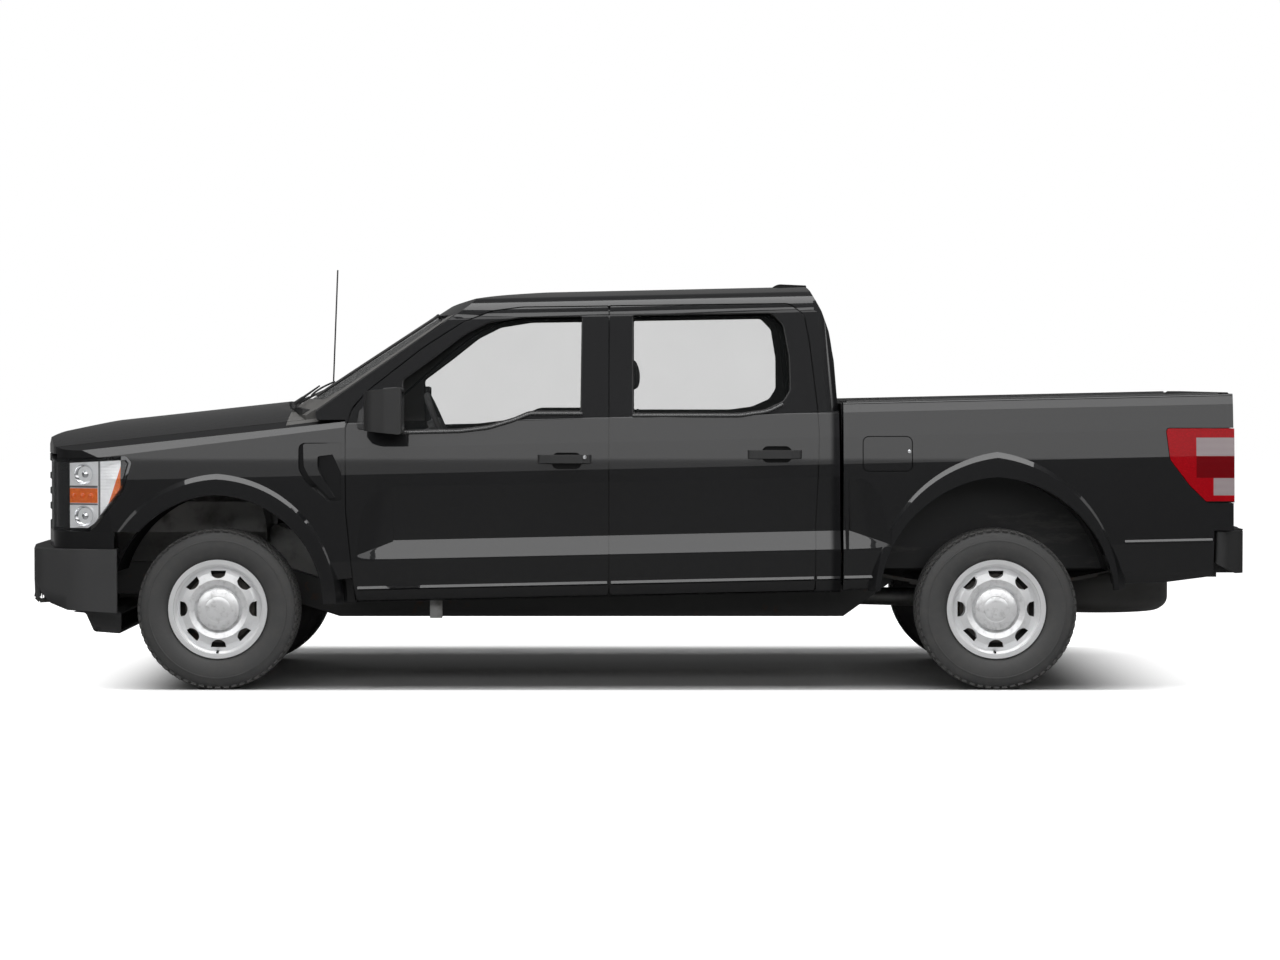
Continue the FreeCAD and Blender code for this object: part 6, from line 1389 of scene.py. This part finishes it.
def buildControls():
    pedals = bmesh.new()
    for y, z, half in cabinLook["pedals"]:
        outline = [
            (-1.270, y - half, z - 0.055), (-1.285, y - half, z + 0.055), (-1.285, y + half, z + 0.055),
            (-1.270, y + half, z - 0.055),
        ]
        addSlab(pedals, outline, (-0.012, 0, -0.003))
        addRod(pedals, (-1.285, y, z + 0.02), (-1.330, y, z + 0.20), 0.008, None, 12)
    softened(pedals, 0.003, 2, 40)
    addPiece("pedals", pedals, "sealRubber", "chassis", 35)
    stalks = bmesh.new()
    column = cabinLook["column"]
    for side in truck["sides"]:
        foot, tip = (-1.055, column + side * 0.03, 1.185), (-1.020, column + side * 0.165, 1.215)
        addRod(stalks, foot, tip, 0.007, 0.009, 14)
    addPiece("columnStalks", stalks, "cabinPlastic", "chassis", 35)


def buildWheelPad():
    slope = math.atan(cabinLook["wheelSlope"])
    axis = Vector((math.cos(slope), 0, math.sin(slope)))
    centre = Vector(cabinLook["wheelMiddle"]) + axis * cabinLook["wheelOut"]
    pad = bmesh.new()
    addTurned(pad, cabinLook["pad"], centre, 56, axis=axis, start=(0, 1, 0))
    addPiece("steeringPad", pad, "cabinPlastic", "steering_wheel", 35)


buildCarpet()
buildDashboard()
buildControls()
buildWheelPad()
print("cabin dressed")

# load bed: rail caps, tie-down rings and the tailgate's moulded cap
bedLook = {
    "rail": 1.342, "capX": (1.000, 2.762), "capY": (0.828, 0.944), "rings": (1.22, 2.60), "ringY": 0.822,
    "ringZ": 0.985, "ringRuns": 9, "ringWide": 0.028, "ringDeep": 0.034, "ringOut": 0.016,
    "tailCapHalf": 0.765,
}


def buildRailCap(side):
    low, high = bedLook["capX"]
    inner, outer = bedLook["capY"]
    foot = bedLook["rail"] + truck["rake"] * low
    outline = [
        (outer - 0.004, -0.030), (outer + 0.0015, -0.006), (outer - 0.004, 0.0065), (inner + 0.012, 0.0065),
        (inner - 0.002, 0.001), (inner - 0.003, -0.022), (inner + 0.001, -0.022), (inner + 0.006, 0.0006),
        (outer - 0.010, 0.0006), (outer - 0.006, -0.030),
    ]
    cap = bmesh.new()
    push = (high - low, 0, truck["rake"] * (high - low))
    addSlab(cap, [(low, side * y, foot + z) for y, z in outline], push)
    addPiece("bedRailCap" + sideName[side], cap, "blackPlastic", "chassis")


# half rings that hang from the box's inner wall
def buildTieDowns(side):
    look = bedLook
    rings = bmesh.new()
    for x in look["rings"]:
        spots = []
        for step in range(look["ringRuns"] + 1):
            angle = math.pi * step / look["ringRuns"]
            out, down = look["ringOut"] * math.sin(angle) + 0.001, look["ringDeep"] * math.sin(angle)
            z = look["ringZ"] + truck["rake"] * x - down
            spots.append((x + look["ringWide"] * math.cos(angle), side * (look["ringY"] - out), z))
        for start, stop in zip(spots, spots[1:]):
            addRod(rings, start, stop, 0.0045, None, 10)
    addPiece("tieDownRings" + sideName[side], rings, "brightSteel", "chassis", 40)


def buildTailgateCap():
    low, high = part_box("tailgate")
    outline = [
        (-0.078, -0.020), (-0.078, 0.0005), (-0.070, 0.0065), (-0.006, 0.0065), (0.0015, -0.001),
        (0.0015, -0.022), (-0.0008, -0.022), (-0.004, 0.0006), (-0.073, 0.0006), (-0.0755, -0.020),
    ]
    half = bedLook["tailCapHalf"]
    cap = bmesh.new()
    addSlab(cap, [(high.x + x, -half, high.z + z) for x, z in outline], (0, 2 * half, 0))
    addPiece("tailgateCap", cap, "blackPlastic", "tailgate")


for side in truck["sides"]:
    buildRailCap(side)
    buildTieDowns(side)
buildTailgateCap()
print("bed dressed")

# bumpers: step pads at the rear; raised lower corners, lamp blanks, hooks and a lower grille at the front
bumperLook = {
    "padX": (2.795, 2.905), "padTop": 0.752, "pads": 9, "padFrom": 0.40, "padStep": 0.05, "padHalf": 0.016,
    "cornerTop": 0.62, "underside": 0.358, "cornerFrom": 0.64, "cornerRun": 0.24, "longEdge": 0.03,
    "cornerLine": [
        (-2.866, 0.520), (-2.847, 0.502), (-2.824, 0.456), (-2.779, 0.411), (-2.695, 0.380),
        (-2.455, 0.366),
    ],
    "fogX": -2.8765, "cornerSweep": 0.1495, "fogBars": (0.36, 0.56, 0.76),
    "fogOutline": [(0.60, 0.415), (0.83, 0.512), (0.83, 0.600), (0.60, 0.560)],
    "hookY": 0.44,
    "hook": [(-2.86, 0.395), (-2.912, 0.392), (-2.930, 0.410), (-2.926, 0.432), (-2.900, 0.440)],
    "meshX": -2.905, "meshLow": 0.405, "meshHigh": 0.520, "meshBow": 0.03, "meshBowAt": 0.6,
    "slats": 6, "slatAt": (-0.58, -0.4, -0.2, 0, 0.2, 0.4, 0.58), "slatDepth": 0.030, "slatHeight": 0.005,
    "ribs": 25, "ribFrom": -0.576, "ribStep": 0.048, "ribSunk": 0.008, "ribHalf": 0.002, "ribDepth": 0.018,
}


# raises the bumper's lower corners along the corner line
def buildBumperSkin():
    look = bumperLook
    skin = mergedCopy("front_bumper")
    outside = [edge for edge in skin.edges if min(abs(vert.co.y) for vert in edge.verts) > look["cornerTop"]]
    longEdges = [edge for edge in outside if edge.calc_length() > look["longEdge"]]
    bmesh.ops.subdivide_edges(skin, edges=longEdges, cuts=3)
    bmesh.ops.triangulate(skin, faces=skin.faces)
    hinge, low = look["cornerTop"], look["underside"]
    for vert in skin.verts:
        share = min(max((abs(vert.co.y) - look["cornerFrom"]) / look["cornerRun"], 0), 1)
        share = share * share * (3 - 2 * share)
        if vert.co.z < hinge and share > 0 and vert.co.z > low - 0.0005:
            floor = low + share * (readTable(look["cornerLine"], vert.co.x) - low)
            vert.co.z = hinge - (hinge - vert.co.z) * (hinge - floor) / (hinge - low)
    piece = addPiece("frontBumperSkin", skin, "bumperPlastic", "chassis", 28)
    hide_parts("front_bumper")


# blanking plates with three bars each, behind the bumper's two lamp recesses
def buildFogCovers():
    look = bumperLook
    outline = look["fogOutline"]
    plates = bmesh.new()
    for side in truck["sides"]:
        sweep = [look["fogX"] + (y - outline[0][0]) * look["cornerSweep"] for y, z in outline]
        addSlab(plates, [(x, side * y, z) for x, (y, z) in zip(sweep, outline)], (0.004, 0, 0))
        (y0, low0), (y1, low1), (y2, high1), (y3, high0) = outline
        for share in look["fogBars"]:
            start = (sweep[0], side * y0, low0 + (high0 - low0) * share)
            stop = (sweep[1], side * y1, low1 + (high1 - low1) * share)
            addRod(plates, start, stop, 0.0035, None, 10)
    addPiece("fogCovers", plates, "blackPlastic", "chassis", 35)


def buildStepPads():
    look = bumperLook
    pads = bmesh.new()
    low, high = look["padX"]
    for side in truck["sides"]:
        for index in range(look["pads"]):
            y = side * (look["padFrom"] + index * look["padStep"])
            foot, top = look["padTop"] + 0.0002, look["padTop"] + 0.0055
            addBox(pads, (low, y - look["padHalf"], foot), (high, y + look["padHalf"], top))
    softened(pads, 0.0018, 2, 50)
    addPiece("rearStepPads", pads, "sealRubber", "chassis", 35)


def buildTowHooks():
    hooks = bmesh.new()
    for side in truck["sides"]:
        y = side * bumperLook["hookY"]
        for (x0, z0), (x1, z1) in zip(bumperLook["hook"], bumperLook["hook"][1:]):
            addRod(hooks, (x0, y, z0), (x1, y, z1), 0.011, None, 14)
    addPiece("towHooks", hooks, "castIron", "chassis", 40)


def lowerGrilleX(y):
    return bumperLook["meshX"] + bumperLook["meshBow"] * (y / bumperLook["meshBowAt"]) ** 2


def buildLowerGrille():
    look = bumperLook
    low, high = look["meshLow"], look["meshHigh"]
    slats = bmesh.new()
    for index in range(look["slats"]):
        z = low + index * (high - low) / (look["slats"] - 1)
        outline = [(lowerGrilleX(y), y, z) for y in look["slatAt"]]
        outline += [(x + look["slatDepth"], y, z) for x, y, z in reversed(outline)]
        addSlab(slats, outline, (0, 0, look["slatHeight"]))
    for index in range(look["ribs"]):
        y = look["ribFrom"] + index * look["ribStep"]
        x = lowerGrilleX(y) + look["ribSunk"]
        half, depth = look["ribHalf"], look["ribDepth"]
        addBox(slats, (x, y - half, low), (x + depth, y + half, high + 0.004))
    addPiece("lowerGrille", slats, "blackPlastic", "chassis")


buildBumperSkin()
buildFogCovers()
buildStepPads()
buildTowHooks()
buildLowerGrille()
print("bumper trim built")

# underside: the rear dampers, the brackets beneath the sills and the lips of the rear wheel arches
underLook = {
    "damperLow": (1.8115, 0.600, 0.352), "damperHigh": (2.0735, 0.600, 0.755),
    # each tube's start and end along the damper, and its radius
    "tubes": [(0.06, 0.415, 0.0292), (0.455, 0.745, 0.0352)],
    "bracketX": (-0.985, -0.925), "bracketY": (0.700, 0.800), "bracketFoot": 0.330, "bracketTop": 0.425,
    "archReach": 0.555, "archRise": 0.628, "lipY": (0.900, 0.944), "lipLayers": (0.0010, 0.0040),
    "lipFrom": 24, "lipSweep": 132, "lipRuns": 40,
}


def buildDampers():
    dampers = bmesh.new()
    for side in truck["sides"]:
        foot, top = (Vector(underLook[name]) * Vector((1, side, 1)) for name in ("damperLow", "damperHigh"))
        for start, stop, radius in underLook["tubes"]:
            addRod(dampers, foot.lerp(top, start), foot.lerp(top, stop), radius, None, 28)
    addPiece("rearDampers", dampers, "brightSteel", "chassis", 40)


# an upright plate and a flat one on each side
def buildSillBrackets():
    brackets = bmesh.new()
    low, high = underLook["bracketX"]
    foot, top = underLook["bracketFoot"], underLook["bracketTop"]
    for side in truck["sides"]:
        inner, outer = (side * y for y in underLook["bracketY"])
        addBox(brackets, (low, outer - 0.004, foot), (high, outer + 0.004, top))
        addBox(brackets, (low, min(inner, outer), top - 0.004), (high, max(inner, outer), top + 0.002))
    softened(brackets, 0.0015, 2, 50)
    addPiece("sillBrackets", brackets, "castAluminium", "chassis", 35)


# the lip that closes the slit between each rear wheelhouse and the box side
def buildArchLips():
    look = underLook
    lips = bmesh.new()
    runs = look["lipRuns"]
    turns = [math.radians(look["lipFrom"] + step * look["lipSweep"] / runs) for step in range(runs + 1)]
    for side in truck["sides"]:
        rows = []
        for turn in turns:
            for extra in look["lipLayers"]:
                x = truck["rearAxle"] + (look["archReach"] + extra) * math.cos(turn)
                z = truck["axleHeight"] + (look["archRise"] + extra) * math.sin(turn)
                rows.append([lips.verts.new((x, side * y, z)) for y in look["lipY"]])
        for index in range(0, len(rows) - 2, 2):
            near, far, nextNear, nextFar = rows[index:index + 4]
            lips.faces.new((near[0], near[1], nextNear[1], nextNear[0]))
            lips.faces.new((far[0], nextFar[0], nextFar[1], far[1]))
            lips.faces.new((near[1], far[1], nextFar[1], nextNear[1]))
            lips.faces.new((near[0], nextNear[0], nextFar[0], far[0]))
        for near, far in (rows[:2], rows[-2:]):
            lips.faces.new((near[0], far[0], far[1], near[1]))
    addPiece("archLips", lips, "linerPlastic", "chassis", 35)


buildDampers()
buildSillBrackets()
buildArchLips()
print("underside dressed")

# a pale floor that glows white for the camera away from the truck, and keeps its shadow beneath it; where the
# glow stops is drawn to the shadow's outline, so the grey floor round the truck is painted shadow as well as
# cast shadow
stageLook = {
    "size": 90, "floor": (0.62, 0.62, 0.62), "floorMirrored": (0.20, 0.20, 0.20),
    "noseShadowEdge": (2.12, 2.72), "tailShadowEdge": (2.00, 2.85), "nearShadowEdge": (0.93, 1.12), "farShadowEdge": (1.55, 2.05),
    "sky": 0.07, "mirrored": 0.13,
}


def buildFloor():
    look = stageLook
    bm = bmesh.new()
    bmesh.ops.create_grid(bm, x_segments=1, y_segments=1, size=look["size"] / 2)
    floor = newObject("studioFloor", newMesh("studioFloor", bm))
    made = finish("floorPale", roughness=0.9, specular=0.0, emissionStrength=1.0)
    x, y, z = made.axes()
    # painted shadow edges: the glow starts along a drawn outline round the truck
    ends = (x * -1).rise(*look["noseShadowEdge"]).atLeast(x.rise(*look["tailShadowEdge"]))
    sides = (y * -1).rise(*look["nearShadowEdge"]).atLeast(y.rise(*look["farShadowEdge"]))
    glowBeyondShadow = 1 - (1 - ends) * (1 - sides)
    rays = ("Is Camera Ray", "Is Glossy Ray", "Is Transmission Ray")
    seen, mirrored, through = (made.make("ShaderNodeLightPath", {}, {}, name) for name in rays)
    strength = glowBeyondShadow * seen.atLeast(mirrored * look["mirrored"]).atLeast(through)
    made.put(
        baseColor=made.blend(mirrored, look["floor"], look["floorMirrored"]),
        emission=made.blend(strength, (0, 0, 0), (1, 1, 1)),
    )
    floor.data.materials.append(made.material)


def buildWorld():
    world = bpy.data.worlds.new("studioWorld")
    world.use_nodes = True
    bpy.context.scene.world = world
    tree = world.node_tree
    background = tree.nodes["Background"]
    path = tree.nodes.new("ShaderNodeLightPath")
    seen = tree.nodes.new("ShaderNodeMath")
    seen.operation = "MAXIMUM"
    tree.links.new(path.outputs["Is Camera Ray"], seen.inputs[0])
    tree.links.new(path.outputs["Is Transmission Ray"], seen.inputs[1])
    mirrored = tree.nodes.new("ShaderNodeMath")
    mirrored.operation = "MULTIPLY_ADD"
    tree.links.new(path.outputs["Is Glossy Ray"], mirrored.inputs[0])
    mirrored.inputs[1].default_value = stageLook["mirrored"] - stageLook["sky"]
    mirrored.inputs[2].default_value = stageLook["sky"]
    level = tree.nodes.new("ShaderNodeMath")
    level.operation = "MAXIMUM"
    tree.links.new(seen.outputs[0], level.inputs[0])
    tree.links.new(mirrored.outputs[0], level.inputs[1])
    background.inputs["Color"].default_value = (1, 1, 1, 1)
    tree.links.new(level.outputs[0], background.inputs["Strength"])


lampLook = [
    # name, place, aim, size, power, lights matt surfaces, shows in glossy ones
    ("overhead", (0.1, -1.7, 6.2), (0.1, 0.0, 0.0), (9.5, 3.6), 470, True, True),
    ("sideStrip", (0.0, -8.0, 5.3), (0.0, -0.9, 0.9), (22.0, 1.7), 440, False, True),
    ("sideCard", (0.0, -9.0, 3.3), (0.0, -0.9, 1.0), (24.0, 2.0), 330, False, True),
    ("lowCard", (0.0, -9.0, 2.06), (0.0, -0.9, 1.0), (24.0, 0.5), 24, False, True),
    ("sideSoft", (0.0, -10.0, 5.0), (0.0, -0.9, 0.9), (12.0, 3.0), 210, True, False),
    ("farSoft", (0.0, 9.0, 5.0), (0.0, 0.9, 0.9), (12.0, 3.0), 80, True, False),
    ("frontSoft", (-8.5, -2.0, 4.6), (-2.0, 0.0, 0.8), (3.4, 2.2), 70, True, True),
    ("rearSoft", (8.5, -2.0, 4.6), (2.0, 0.0, 0.8), (3.4, 2.2), 70, True, True),
]


def buildLamps():
    for name, place, aim, size, power, onMatt, onGloss in lampLook:
        light = bpy.data.lights.new(name, "AREA")
        light.shape = "RECTANGLE"
        light.size, light.size_y = size
        light.energy = power
        item = newObject(name, light)
        item.location = place
        item.visible_diffuse = onMatt
        item.visible_glossy = onGloss
        item.rotation_euler = (Vector(aim) - Vector(place)).to_track_quat("-Z", "Y").to_euler()


cameraLook = {"place": (0.021, -17.985, 1.48), "lens": 101.06, "tiltDown": 1.63, "clip": 200}


def buildCamera():
    data = bpy.data.cameras.new("photoCamera")
    data.lens = cameraLook["lens"]
    data.sensor_width = 36
    data.clip_end = cameraLook["clip"]
    camera = newObject("photoCamera", data)
    camera.location = cameraLook["place"]
    camera.rotation_euler = (math.radians(90 - cameraLook["tiltDown"]), 0, 0)
    bpy.context.scene.camera = camera


buildFloor()
buildWorld()
buildLamps()
buildCamera()
bpy.context.scene.view_settings.view_transform = "Standard"
print("stage, lamps and camera set")
